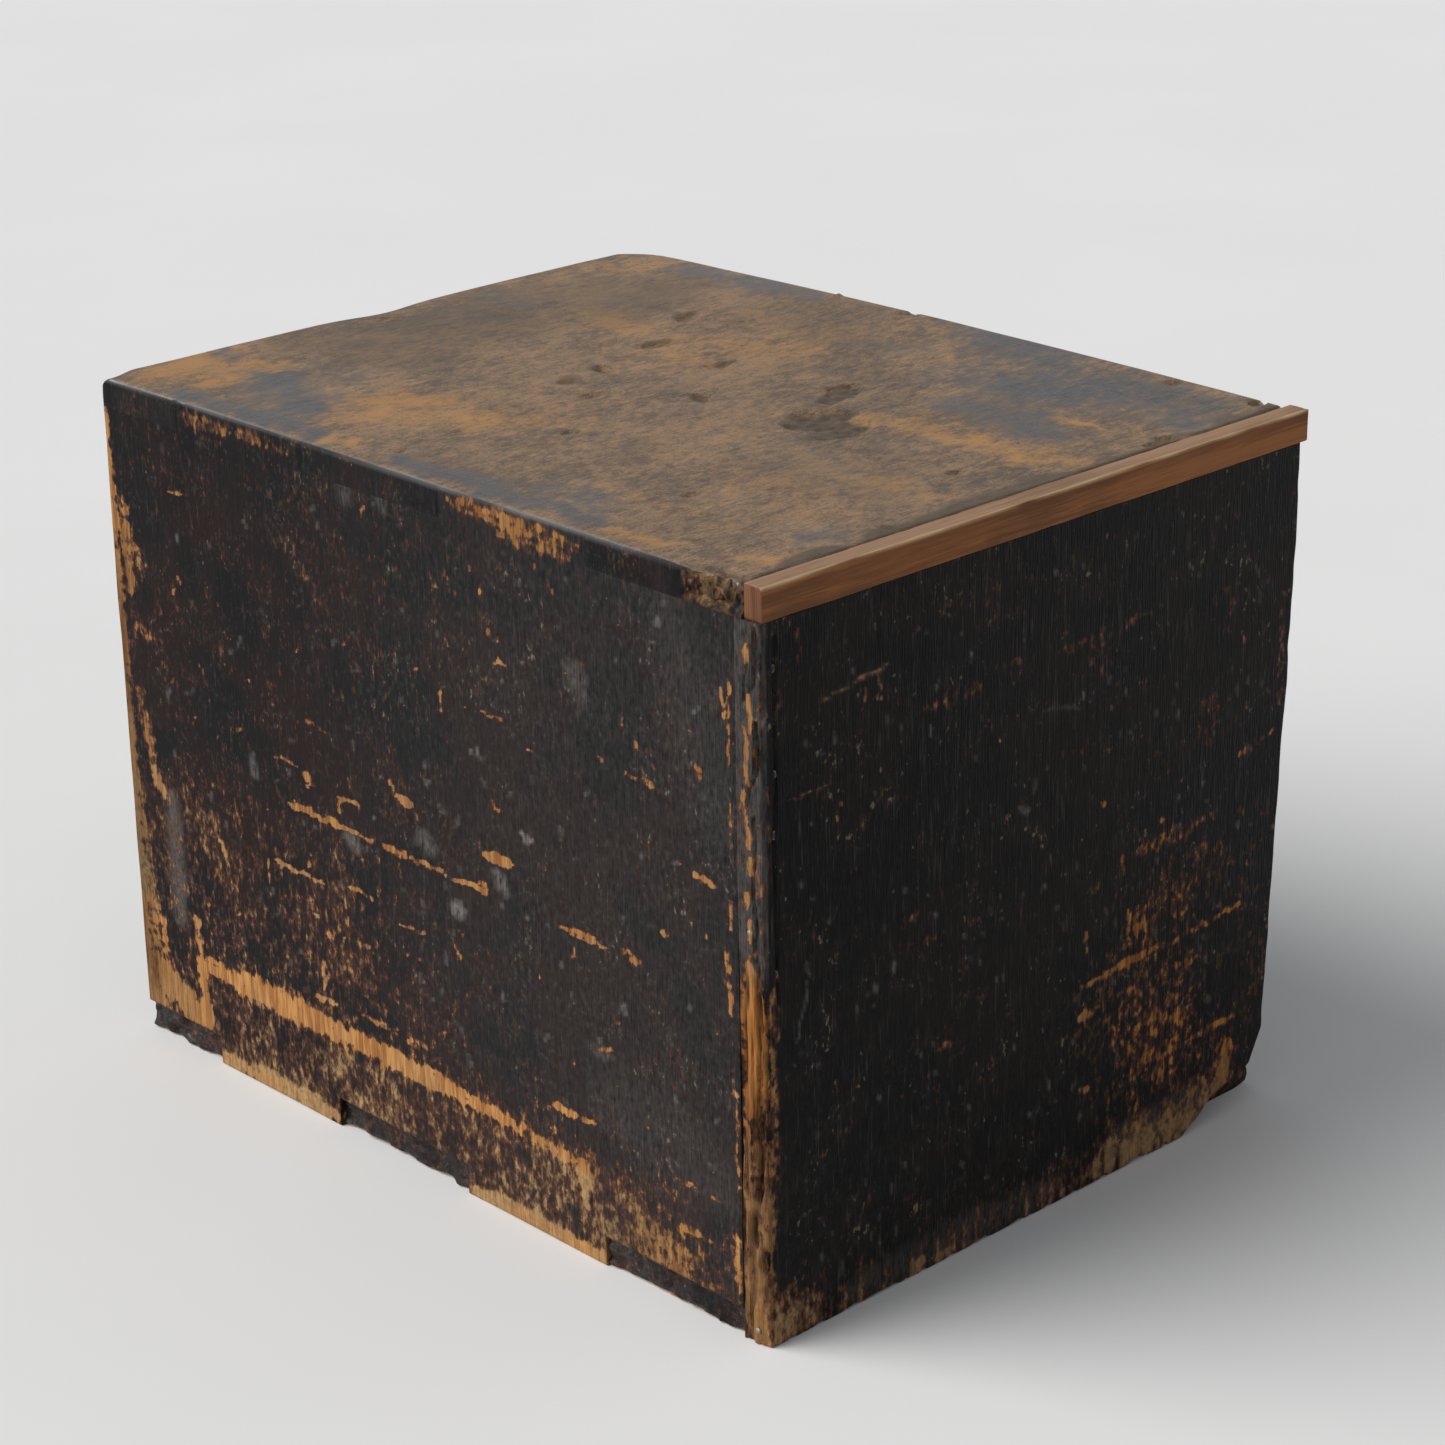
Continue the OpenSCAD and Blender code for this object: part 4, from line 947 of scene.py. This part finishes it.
def worn_panel(points):
    """The back panel's shape: its far edge, broken corner, frayed foot and tunnelled near edge."""
    x, y, z = points.T
    moved = handled(points)
    edge_z, edge_x = np.array(far_edge, float).T
    edge = np.interp(z, edge_z, edge_x) + 0.8 * drift(points, (400, 400, 9), 101)
    edge = np.maximum(edge, case_low[0])
    share = (case_high[0] - x) / (case_high[0] - case_low[0])
    moved[:, 0] += share * (edge - case_low[0])
    splinter_l, fray_l, frayed_h = 4, 3, 11
    splinters = np.clip(6 * drift(points, (3, 60, 60), 103), 0, splinter_l)
    fray = np.clip(4 * drift(points, (9, 60, 60), 102), 0, fray_l) + splinters
    fray *= 0.3 + 0.7 * step_up(moved[:, 0], -10, -110)
    moved[:, 2] += fray * step_up(z, frayed_h, 0)
    split = marked(y, z, galleries)
    near_edge = step_up(x, case_high[0] - 4, case_high[0] - 1)
    moved[:, 0] -= near_edge * tunnel_depth * split
    ridges = 0.35 * (1 + drift(points, (20, 2.2, 18), 106)) + 0.25 * (1 + drift(points, (20, 3, 7), 107))
    crack_deep, gnawed_most, peg_split = 1.1, 2.6, 0.8
    moved[:, 0] -= near_edge * (ridges + crack_deep * cracks(points)) * step_up(z, 200, 120)
    near_arris = step_up(x, case_high[0] - 12, case_high[0]) * step_up(y, case_high[1] - 8, case_high[1])
    gnawed = 1.1 * drift(points, (20, 20, 11), 104) + 0.6 * drift(points, 3, 105) + 1.2 * step_up(z, 170, 140)
    moved[:, 0] -= near_arris * np.clip(gnawed, 0, gnawed_most)
    peg_line = marked(x, z, way([(152.5, 300), (153, 262), (152, 240), (153.5, 214), (152, 150)], 0.7, 1))
    moved[:, 1] -= peg_split * peg_line * (y > case_high[1] - 0.5)
    return moved


def panel_tones(points):
    """Tones from where the points have come to lie, so that the marks aren't drawn sideways with them."""
    x, y, z = points.T
    u, w = strayed(points, (0, 2), 1.4, 4, 111)
    on_edge = x > case_high[0] - 3.5
    foot = step_up(z, 30, 3)
    fibres = drift(points, (1.7, 20, 34), 114)
    broken = 0.8 + 0.35 * drift(points, (3, 20, 3), 118)
    flecked = 0.08 * drift(points, 36, 113) + 0.14 * step_up(z, 170, 90) * step_up(x, -10, -80)
    face = np.maximum.reduce([flecked, marked(u, w, panel_marks) * broken, marked(u, w, ground_marks)])
    frayed = 0.32 + 0.46 * fibres + 0.12 * drift(points, (30, 30, 40), 119) + 0.12 * step_up(x, -40, -80)
    face += foot * frayed
    ochre_ground = step_up(x, -10, -50) * step_up(z, 20, 40) * step_up(z, 260, 180)
    greyed = np.maximum(np.clip(foot * 1.6, 0, 1), 0.6 * (1 - ochre_ground))
    rotten = step_up(z, 172, 150)
    edge = marked(y + 0.8 * drift(points, 3, 120), z + 2 * drift(points, 5, 116), edge_marks)
    edge = np.maximum(0.2 + 0.12 * drift(points, (20, 3, 12), 115), edge)
    edge += rotten * (0.2 + 0.22 * drift(points, (20, 2.4, 12), 121) + 0.22 * step_up(z, 100, 78))
    # The near edge's film is greyed all over: a painted sheen, like the one on the side beside it, put in as
    # colour.
    edge_sheen = 0.26 + 0.14 * drift(points, 14, 117)
    ticked = 0.5 * marked(x, z, panel_ticks)
    face_haze = np.maximum(ticked, marked(u, w, panel_haze)) + 0.03 * step_up(z, 220, 40)
    split = marked(y, z, galleries) * on_edge
    brown = rotten * step_up(z, 0, 14) * (0.3 + 0.3 * drift(points, 7, 122)) * (1 - marked(y, z, edge_marks))
    brown += rotten * cracks(points) * (0.75 - 0.35 * step_up(z, 100, 78))
    return {
        "bare": np.where(on_edge, edge, face),
        "pale": np.where(on_edge, np.maximum(0.55 * step_up(z, 100, 78), 0.5 * (1 - rotten)), greyed),
        "haze_and_sheen": np.where(on_edge, edge_sheen * (1 - rotten), face_haze),
        "grime": np.clip(split * 1.4 + 0.8 * seam(points) + on_edge * brown, 0, 1),
    }


panel_grid = [
    lines([panel_low[0], panel_high[0], 0], 1.4, 0.9, 14),
    lines([panel_low[1], panel_high[1]], 0.9, 0.8, 4),
    lines([panel_low[2], panel_high[2]], 1.35, 1, 14),
]
points, faces, ways = skin(panel_grid, whole_wood, plain=toward_front)
moved = worn_panel(points)
tones = panel_tones(np.stack([moved[:, 0], points[:, 1], moved[:, 2]], axis=1))
panel = piece("back_panel_worn", moved, faces, [panel_lacquer, upright_wood], tones, ways[toward_front])
fit(panel, "case", "lacquered_wood", "back_panel")

# Cap strip
# A later strip of reddish wood, fixed along the top of the back to close the lap. It is bare, planed
# square, a little bruised along its upper arris, and runs past the left side.

strip_wood = planed_wood("cap_strip_wood", 0, tint(138, 88, 49), tint(112, 68, 36), tint(84, 54, 31))
dusty_wood = planed_wood("cap_strip_dusty", 0, tint(146, 114, 87), tint(127, 97, 73), tint(103, 79, 60))
strip_end = planed_wood("cap_strip_end_grain", 2, tint(120, 78, 50), tint(92, 58, 36), tint(74, 48, 30))
strip_low, strip_high = box_mm("cap_strip")


def bruised(points):
    """The strip's shape: small knocks along its arrises."""
    arris_r = 0.6
    moved = rounded(points, strip_low, strip_high, arris_r + 0.3 * drift(points, 12, 121))
    upper = step_up(points[:, 2], strip_low[2] + 8, strip_high[2])
    moved[:, 2] -= upper * np.clip(0.25 * drift(points, (9, 4, 4), 122), 0, 1)
    behind = points[:, 1] > strip_high[1] - 0.5
    moved[:, 1] -= behind * np.clip(0.3 * drift(points, (14, 40, 6), 123), 0, 1)
    return moved


strip_grid = [lines([low, high], 1.6, 0.6, 2.4) for low, high in zip(strip_low, strip_high)]
points, faces, ways = skin(strip_grid, whole_wood)
# The pale line on the strip's upper back arris is partly rubbed wood and partly a painted highlight where light
# catches the edge.
off_arris = np.hypot(strip_high[1] - points[:, 1], strip_high[2] - points[:, 2])
rubbed = np.clip(1.3 - off_arris / 1.1, 0, 1) * np.clip(0.6 + 0.8 * drift(points, (14, 9, 9), 124), 0, 1)
strip_ends = np.concatenate([ways[toward_right], ways[toward_left]])
finishes = [strip_wood, dusty_wood, strip_end]
tones = {"worn": rubbed}
strip = piece("cap_strip_planed", bruised(points), faces, finishes, tones, ways[toward_top], strip_ends)
fit(strip, "case", "cap_wood", "cap_strip")

# Pegs and nails in the back
# Split wooden pegs, whittled round and lacquered over, hold the panel to the side boards and the bottom.
# Two wire nails in its near edge are a later repair.

peg_start = box_mm("back_pegs")[0][1]
peg_r, peg_length, peg_inset = 1.8, 31.5, 6.5
peg_heights = np.array([0.08, 0.31, 0.53, 0.72, 0.8, 0.94]) * top_under
foot_places = np.array([-0.28, 0, 0.28]) * (right_low[0] - left_high[0])


def new_tree(name, inputs):
    """An empty tree with named inputs, a way to ask for one of them, and a way to close it."""
    tree = bpy.data.node_groups.new(name, "GeometryNodeTree")
    tree.interface.new_socket("Places", in_out="INPUT", socket_type="NodeSocketGeometry")
    for key, kind in inputs.items():
        tree.interface.new_socket(key, in_out="INPUT", socket_type="NodeSocket" + kind)
    tree.interface.new_socket("Made", in_out="OUTPUT", socket_type="NodeSocketGeometry")

    def given(key):
        return Field(tree).node("NodeGroupInput", out=key)

    def close(made):
        made = made.node("GeometryNodeRealizeInstances", None, {"Geometry": made})
        made = made.node("GeometryNodeSetMaterial", None, {"Geometry": made, "Material": given("Finish")})
        shown = tree.nodes.new("NodeGroupOutput")
        tree.links.new(made.socket, shown.inputs["Made"])

    return tree, given, close


def uneven(shape, size, depth):
    """A shape with its points pushed about by noise, depth and size in mm."""
    place = shape.node("GeometryNodeInputPosition")
    noise = place.node("ShaderNodeTexNoise", None, {"Vector": place, "Scale": 1 / (size * mm)}, out=1)
    noise = noise.node("ShaderNodeVectorMath", {"operation": "SUBTRACT"}, {0: noise, 1: (0.5, 0.5, 0.5)})
    push = noise.node("ShaderNodeVectorMath", {"operation": "SCALE"}, {0: noise, "Scale": depth * mm})
    return shape.node("GeometryNodeSetPosition", None, {"Geometry": shape, "Offset": push})


def on_places(shape, given, tilt):
    """A copy of a shape on every place, turned as given and then tilted by chance, in radians."""
    spread = {0: (-tilt, -tilt, -tilt), 1: (tilt, tilt, tilt), "Seed": given("Seed")}
    chance = shape.node("FunctionNodeRandomValue", {"data_type": "FLOAT_VECTOR"}, spread)
    turn = shape.node("ShaderNodeVectorMath", {"operation": "ADD"}, {0: given("Turn"), 1: chance})
    sockets = {"Points": given("Places"), "Instance": shape, "Rotation": turn}
    return shape.node("GeometryNodeInstanceOnPoints", None, sockets)


def worked(rough):
    """The plain mesh that an object's modifiers make of it. The object itself is removed."""
    ready = rough.evaluated_get(bpy.context.evaluated_depsgraph_get())
    mesh = bpy.data.meshes.new_from_object(ready)
    bpy.data.objects.remove(rough)
    return mesh


def grown(name, tree, places, sizes):
    """The plain mesh that a tree makes on places in mm."""
    seeds = bpy.data.meshes.new(name + "_places")
    seeds.from_pydata((np.array(places, float) * mm).tolist(), [], [])
    bed = in_scene(name + "_bed", seeds)
    growth = bed.modifiers.new("growth", "NODES")
    growth.node_group = tree
    for socket in tree.interface.items_tree:
        if socket.name in sizes:
            growth[socket.identifier] = sizes[socket.name]
    mesh = worked(bed)
    smooth(mesh, 50)
    return in_scene(name, mesh)


setting = {"Turn": "Vector", "Seed": "Int", "Finish": "Material"}
peg_tree, given, close = new_tree("whittled_pegs", {"Radius": "Float", "Length": "Float"} | setting)
whittled = {"Vertices": 14, "Side Segments": 6, "Fill Segments": 3, "Depth": given("Length")}
whittled |= {"Radius Top": given("Radius"), "Radius Bottom": given("Radius") * 0.8}
peg_shape = Field(peg_tree).node("GeometryNodeMeshCone", {"fill_type": "TRIANGLE_FAN"}, whittled)
across = peg_shape.node("ShaderNodeSeparateXYZ", None, {0: peg_shape.node("GeometryNodeInputPosition")})
upward = Field(peg_tree, across.socket.node.outputs["Y"])
out_mm = across.math("SQRT", across * across + upward * upward)
out_share = across.math("DIVIDE", out_mm, given("Radius"))
rim = {"Geometry": peg_shape, "Name": "rim", "Value": out_share}
peg_shape = peg_shape.node("GeometryNodeStoreNamedAttribute", None, rim)
close(on_places(uneven(peg_shape, 1.6, 0.3), given, 0.02))

nail_tree, given, close = new_tree("nail_heads", {"Radius": "Float", "Dome share": "Float"} | setting)
dome = {"Segments": 14, "Rings": 8, "Radius": given("Radius")}
nail_shape = Field(nail_tree).node("GeometryNodeMeshUVSphere", None, dome)
flat = nail_shape.node("ShaderNodeCombineXYZ", None, {0: 1.0, 1: 1.0, 2: given("Dome share")})
nail_shape = nail_shape.node("GeometryNodeTransform", None, {"Geometry": nail_shape, "Scale": flat})
close(on_places(uneven(nail_shape, 1.1, 0.18), given, 0.08))

dark_peg, place, shader = new_finish("dark_peg_end")
worn_rim = place.attribute("rim").rise(0.6, 0.9) * place.noise(1.2, 3).rise(0.3, 0.6)
worn_rim.between(tint(24, 19, 16), tint(112, 92, 70)).to(shader, "Base Color")
(0.55 + place.noise(0.6, 2) * 0.3).to(shader, "Roughness")
near_pegs = [(right_high[0] - peg_inset, peg_start, z) for z in peg_heights]
far_pegs = [(left_low[0] + peg_inset, peg_start, z) for z in peg_heights[3:]]
foot_pegs = [(x, peg_start, board_t / 2) for x in foot_places]
backward = (math.radians(-90), 0, 0)
peg_sizes = {"Radius": peg_r * mm, "Length": peg_length * mm, "Turn": backward, "Seed": 3, "Finish": dark_peg}
pegs = grown("back_pegs_whittled", peg_tree, near_pegs + far_pegs + foot_pegs, peg_sizes)
fit(pegs, "case", "peg_wood", "back_pegs")


def old_iron(name, clean, rust, gleam):
    """Hand-forged iron: dark scale, brown rust where it lay damp, and a gleam where hands rub it."""
    material, place, shader = new_finish(name)
    grain = place.noise(0.7, 4)
    patch = place.noise(7, 4)
    rusted = (patch + (grain - 0.5) * 0.5).rise(0.5, 0.66)
    rubbed = (place.noise(3.2, 3, 0.6) + (grain - 0.5) * 0.3).rise(0.58, 0.72) * (1 - rusted)
    tone = (rubbed * 0.7).between(clean, gleam)
    tone = (rusted * 0.8).between(tone, rust)
    tone.to(shader, "Base Color")
    (0.75 - rusted * 0.7).to(shader, "Metallic")
    (0.5 + rusted * 0.3 - rubbed * 0.12 + (grain - 0.5) * 0.3).to(shader, "Roughness")
    relief(grain * 0.6 + patch * 0.6 + rusted * 0.3, shader, 0.25)
    return material


bright_nail = old_iron("bright_nail", tint(150, 148, 144), tint(120, 84, 58), tint(214, 212, 208))
nail_r, nail_dome, nail_sunk = 1.3, 0.5, 0.6
nail_places = [(right_high[0] - nail_sunk, y, z) for y, z in ((204, 7), (202, 180))]
sideways = (0, math.radians(90), 0)
nail_sizes = {"Radius": nail_r * mm, "Dome share": nail_dome, "Turn": sideways, "Seed": 5}
nail_sizes |= {"Finish": bright_nail}
fit(grown("panel_edge_nails", nail_tree, nail_places, nail_sizes), "case", "iron")

# Drawers
# Four boxes of thin softwood, pegged together. Each front is lacquered like the case and has rebates for
# the sides and the bottom, and its lacquer is worn along the edges and below the pull.


def front_shape(points, low, high):
    """A drawer front or door board: arrises rubbed round and a faintly uneven face."""
    arris_r, ripple = 1.3, 0.15
    moved = rounded(points, low, high, arris_r + 0.6 * drift(points, 24, 131))
    moved[:, 1] += (points[:, 1] < low[1] + 0.1) * ripple * (1 + drift(points, (40, 40, 12), 132))
    return moved


peg_wood = planed_wood("peg_wood_end", 1, tint(150, 116, 76), tint(112, 82, 52), tint(60, 44, 32))
drawers = ["inkstone_drawer", "brush_drawer", "seal_drawer", "paper_drawer"]
small_peg_r, small_peg_l, small_peg_in, row_inset = 1.1, 7.6, 7.5, 4
for number, drawer in enumerate(drawers):
    left, right, back, bottom, front = [
        f"{drawer}_{part}" for part in ("left_side", "right_side", "back", "bottom", "front")
    ]
    washer_low, washer_high = box_mm(f"{drawer}_pull_washer")
    grip = (washer_low + washer_high)[[0, 2]] / 2
    rebates = [box_mm(left), box_mm(right), box_mm(bottom)]
    tones = front_wear(200 + 10 * number, grip)
    made = plank(front + "_worn", front, 2, [cross_lacquer, cross_wood], front_shape, tones, rebates)
    fit(made, drawer, "lacquered_wood", front)
    for node, finish in ((left, deep_wood), (right, deep_wood), (back, cross_wood), (bottom, cross_wood)):
        fit(plank(node + "_planed", node, 6, [finish], softened), drawer, "inner_wood", node)
    (left_x, side_y, side_z), side_top = rebates[0][0], rebates[0][1][2]
    right_x, rear_y = rebates[1][1][0], rebates[0][1][1]
    heights = [side_z + (side_top - side_z) * share for share in (0.16, 0.5, 0.84)]
    rows = [(y, z) for y in (side_y + row_inset, rear_y - row_inset) for z in heights]
    small_peg = {"Radius": small_peg_r * mm, "Length": small_peg_l * mm, "Finish": peg_wood}
    rightward = small_peg | {"Turn": sideways, "Seed": 11 + number}
    leftward = small_peg | {"Turn": (0, math.radians(-90), 0), "Seed": 21 + number}
    for side, places, sizes in (
        ("left", [(left_x + small_peg_in, y, z) for y, z in rows], leftward),
        ("right", [(right_x - small_peg_in, y, z) for y, z in rows], rightward),
    ):
        fit(grown(f"{drawer}_{side}_pegs", peg_tree, places, sizes), drawer, "peg_wood")

# Door
# A board with upright grain and a batten across each end, tongued and grooved to keep it flat. It is
# lacquered on the front like the drawers, and bored for the key.

door_low, door_high = box_mm("door_panel")
plate_low, plate_high = box_mm("lock_plate")
plate_x, plate_z = (plate_low + plate_high)[[0, 2]] / 2
tongue_t = (door_high[1] - door_low[1]) / 3
pull_low, pull_high = box_mm("door_pull_washer")
door_grip = (pull_low + pull_high)[[0, 2]] / 2
tongue = (door_low + (0, tongue_t, 0), door_high - (0, tongue_t, 0))
battens = ["door_top_batten", "door_bottom_batten"]
shoulders = []
for batten in battens:
    low, high = box_mm(batten)
    depth = high[1] - low[1]
    shoulders.append((low, high - (0, depth - tongue_t, 0)))
    shoulders.append((low + (0, depth - tongue_t, 0), high))
keyhole_r, slot_half, slot_fall = 3.2, 2, 9
key_low = np.array([plate_x, door_low[1], plate_z])
key_high = np.array([plate_x, door_high[1], plate_z])
round_way = (key_low - (keyhole_r, 0, keyhole_r), key_high + (keyhole_r, 0, keyhole_r))
slot_way = (key_low - (slot_half, 0, slot_fall), key_high + (slot_half, 0, 0))
panel_cuts = shoulders + [round_way, slot_way]
panel_finishes = [upright_lacquer, upright_wood]
door_wear = front_wear(251, door_grip)
made = plank("door_panel_worn", "door_panel", 2, panel_finishes, front_shape, door_wear, panel_cuts)
fit(made, "door", "lacquered_wood", "door_panel")
for number, batten in enumerate(battens):
    tones = front_wear(261 + 10 * number, door_grip)
    made = plank(batten + "_worn", batten, 2, [cross_lacquer, cross_wood], front_shape, tones, [tongue])
    fit(made, "door", "lacquered_wood", batten)

# Hinges and lock
# Forged iron. The leaves are nailed on the front, the door's with a round end, and turn on loose pins. A
# bevelled round plate guards the keyhole, and the bolt slides in a closed case behind the door.

black_iron = old_iron("black_iron", tint(62, 57, 53), tint(98, 64, 44), tint(132, 126, 118))


def forged(node, voxel, hammer, slack=0.0):
    """A forged piece: the node's solid with its sharp arrises gone, its faces left uneven, and slack taken
    off all round, in mm."""
    source = bmesh.new()
    source.from_mesh(frame["nodes"][node].data)
    bmesh.ops.remove_doubles(source, verts=source.verts, dist=0.001 * mm)
    blank = bpy.data.meshes.new(node + "_blank")
    source.to_mesh(blank)
    source.free()
    billet = in_scene(node + "_billet", blank)
    skinned = billet.modifiers.new("skin", "REMESH")
    skinned.mode = "VOXEL"
    skinned.voxel_size = voxel * mm
    eased = billet.modifiers.new("ease", "SMOOTH")
    eased.factor = 0.5
    eased.iterations = 3
    mesh = worked(billet)
    points = np.empty(3 * len(mesh.vertices))
    mesh.vertices.foreach_get("co", points)
    outward = np.empty(3 * len(mesh.vertices))
    mesh.vertices.foreach_get("normal", outward)
    points = points.reshape(-1, 3) / mm
    push = hammer * np.stack([drift(points, 4, seed) for seed in (141, 142, 143)], axis=1)
    push -= slack * outward.reshape(-1, 3)
    mesh.vertices.foreach_set("co", ((points + push) * mm).ravel())
    smooth(mesh)
    mesh.materials.clear()
    mesh.materials.append(black_iron)
    return in_scene(node + "_forged", mesh)


hinge_heights = []
pin_slack = 0.16
for hinge in ("upper_hinge", "lower_hinge"):
    for part, body, slack in (("case_leaf", "case", 0), ("door_leaf", "door", 0), ("pin", "case", pin_slack)):
        node = f"{hinge}_{part}"
        fit(forged(node, 0.35, 0.06, slack), body, "iron", node)
    leaf_low, leaf_high = box_mm(f"{hinge}_door_leaf")
    hinge_heights.append((leaf_low[2] + leaf_high[2]) / 2)
fit(forged("lock_plate", 0.4, 0.1), "door", "iron", "lock_plate")
fit(forged("lock_case", 0.55, 0.1), "door", "iron", "lock_case")
fit(forged("lock_bolt", 0.4, 0.04), "lock_bolt", "iron", "lock_bolt")

hinge_x = next(joint["pos_m"][0] for joint in frame["joints"] if joint["name"] == "door_swing") / mm
leaf_t, head_r, head_dome, head_sunk = 1.2, 1.5, 0.55, 0.1
leaf_face, plate_face = case_front - leaf_t + head_sunk, plate_low[1] + head_sunk
nail_rise, plate_nail_r = 9, 13.5
# Nails in a leaf: how far along from the hinge's axis, and how far up from the leaf's middle
case_leaf_nails = [(-5.7, -nail_rise), (-5.7, nail_rise)]
door_leaf_nails = [(8, -nail_rise), (8, nail_rise), (17.5, -nail_rise), (17.5, nail_rise), (26.5, 0)]
case_nails, door_nails = [
    [(hinge_x + along, leaf_face, z + rise) for z in hinge_heights for along, rise in leaf_nails]
    for leaf_nails in (case_leaf_nails, door_leaf_nails)
]
forward = (math.radians(90), 0, 0)
iron_nail = {"Radius": head_r * mm, "Dome share": head_dome, "Turn": forward, "Finish": black_iron}
for turn in range(4):
    angle = math.radians(45 + 90 * turn)
    across, up = plate_nail_r * math.cos(angle), plate_nail_r * math.sin(angle)
    door_nails.append((plate_x + across, plate_face, plate_z + up))
for body, places, seed in (("case", case_nails, 31), ("door", door_nails, 32)):
    fit(grown(f"{body}_iron_nails", nail_tree, places, iron_nail | {"Seed": seed}), body, "iron")

# Ring pulls
# A round iron ring in the eye of a split staple, whose legs go through a domed washer and the board and
# are bent over behind it.

ring_sizes = {"Ring radius": "Float", "Wire radius": "Float", "Finish": "Material"}
ring_tree, given, close = new_tree("pull_rings", ring_sizes)
round_wire = {"Resolution": 72, "Radius": given("Ring radius")}
hoop = Field(ring_tree).node("GeometryNodeCurvePrimitiveCircle", None, round_wire)
wire = hoop.node("GeometryNodeCurvePrimitiveCircle", None, {"Resolution": 16, "Radius": given("Wire radius")})
ring = hoop.node("GeometryNodeCurveToMesh", None, {"Curve": hoop, "Profile Curve": wire})
stood_up = {"Geometry": uneven(ring, 7, 0.22), "Rotation": (math.radians(90), 0, 0)}
ring = ring.node("GeometryNodeTransform", None, stood_up)
close(ring.node("GeometryNodeInstanceOnPoints", None, {"Points": given("Places"), "Instance": ring}))

for owner in [*drawers, "door"]:
    for part in ("washer", "staple"):
        node = f"{owner}_pull_{part}"
        fit(forged(node, 0.35, 0.05), owner, "iron", node)
    node = f"{owner}_pull_ring"
    ring_low, ring_high = box_mm(node)
    wire_d = ring_high[1] - ring_low[1]
    radius = (ring_high[0] - ring_low[0] - wire_d) / 2
    sizes = {"Ring radius": radius * mm, "Wire radius": wire_d / 2 * mm, "Finish": black_iron}
    made = grown(node + "_forged", ring_tree, [(ring_low + ring_high) / 2], sizes)
    fit(made, node, "iron", node)

# Stage, lamp and camera
# A pale floor that runs out of sight, one broad soft light high on the left of the picture, an even
# sky, and a camera at the photograph's angle and distance.

floor_half = 20.0
floor_mesh = bpy.data.meshes.new("floor")
corners = [(-floor_half, -floor_half, 0), (floor_half, -floor_half, 0), (floor_half, floor_half, 0)]
floor_mesh.from_pydata([*corners, (-floor_half, floor_half, 0)], [], [(0, 1, 2, 3)])
floor = in_scene("floor", floor_mesh)
floor_paint, floor_place, floor_shader = new_finish("floor_paint")
clean_floor = floor_place.noise(300, 3).rise(0.3, 0.7).between(tint(226, 225, 223), tint(228, 227, 225))
clean_floor.to(floor_shader, "Base Color")
floor_shader.inputs["Roughness"].default_value = 0.9
floor_shader.inputs["Specular IOR Level"].default_value = 0.1
floor_mesh.materials.append(floor_paint)

world = bpy.data.worlds.new("sky")
world.use_nodes = True
bpy.context.scene.world = world
sky = world.node_tree.nodes["Background"]
sky.inputs["Color"].default_value = tint(236, 239, 244)
sky_light, seen_sky = 0.4, 0.95
path = Field(world.node_tree).node("ShaderNodeLightPath")
seen = path
for ray in ("Is Glossy Ray", "Is Transmission Ray"):
    seen = seen + Field(world.node_tree, path.socket.node.outputs[ray])
(sky_light + seen * (seen_sky - sky_light)).to(sky, "Strength")

sun = bpy.data.lights.new("soft_light", "SUN")
sun.energy = 3.1
sun.angle = math.radians(50)
sun_from = Vector((0.62, -0.45, 0.64))
sun_lamp = in_scene("soft_light", sun)
sun_lamp.rotation_euler = sun_from.to_track_quat("Z", "Y").to_euler()

camera_place = (1.029997, 1.112766, 0.753481)
yaw, pitch, roll = math.radians(223.30), math.radians(21.16), math.radians(-0.92)
lens_mm, sensor_mm = 90.44, 36
ahead = np.array([math.sin(yaw) * math.cos(pitch), math.cos(yaw) * math.cos(pitch), -math.sin(pitch)])
level = np.cross(ahead, (0, 0, 1))
level /= np.linalg.norm(level)
upright = np.cross(level, ahead)
right_hand = math.cos(roll) * level + math.sin(roll) * upright
overhead = math.cos(roll) * upright - math.sin(roll) * level
camera = in_scene("camera", bpy.data.cameras.new("camera"))
camera.data.lens = lens_mm
camera.data.sensor_width = sensor_mm
turn = Matrix(np.stack([right_hand, overhead, -ahead], axis=1).tolist()).to_4x4()
camera.matrix_world = Matrix.Translation(camera_place) @ turn
bpy.context.scene.camera = camera
bpy.context.scene.view_settings.view_transform = "Standard"
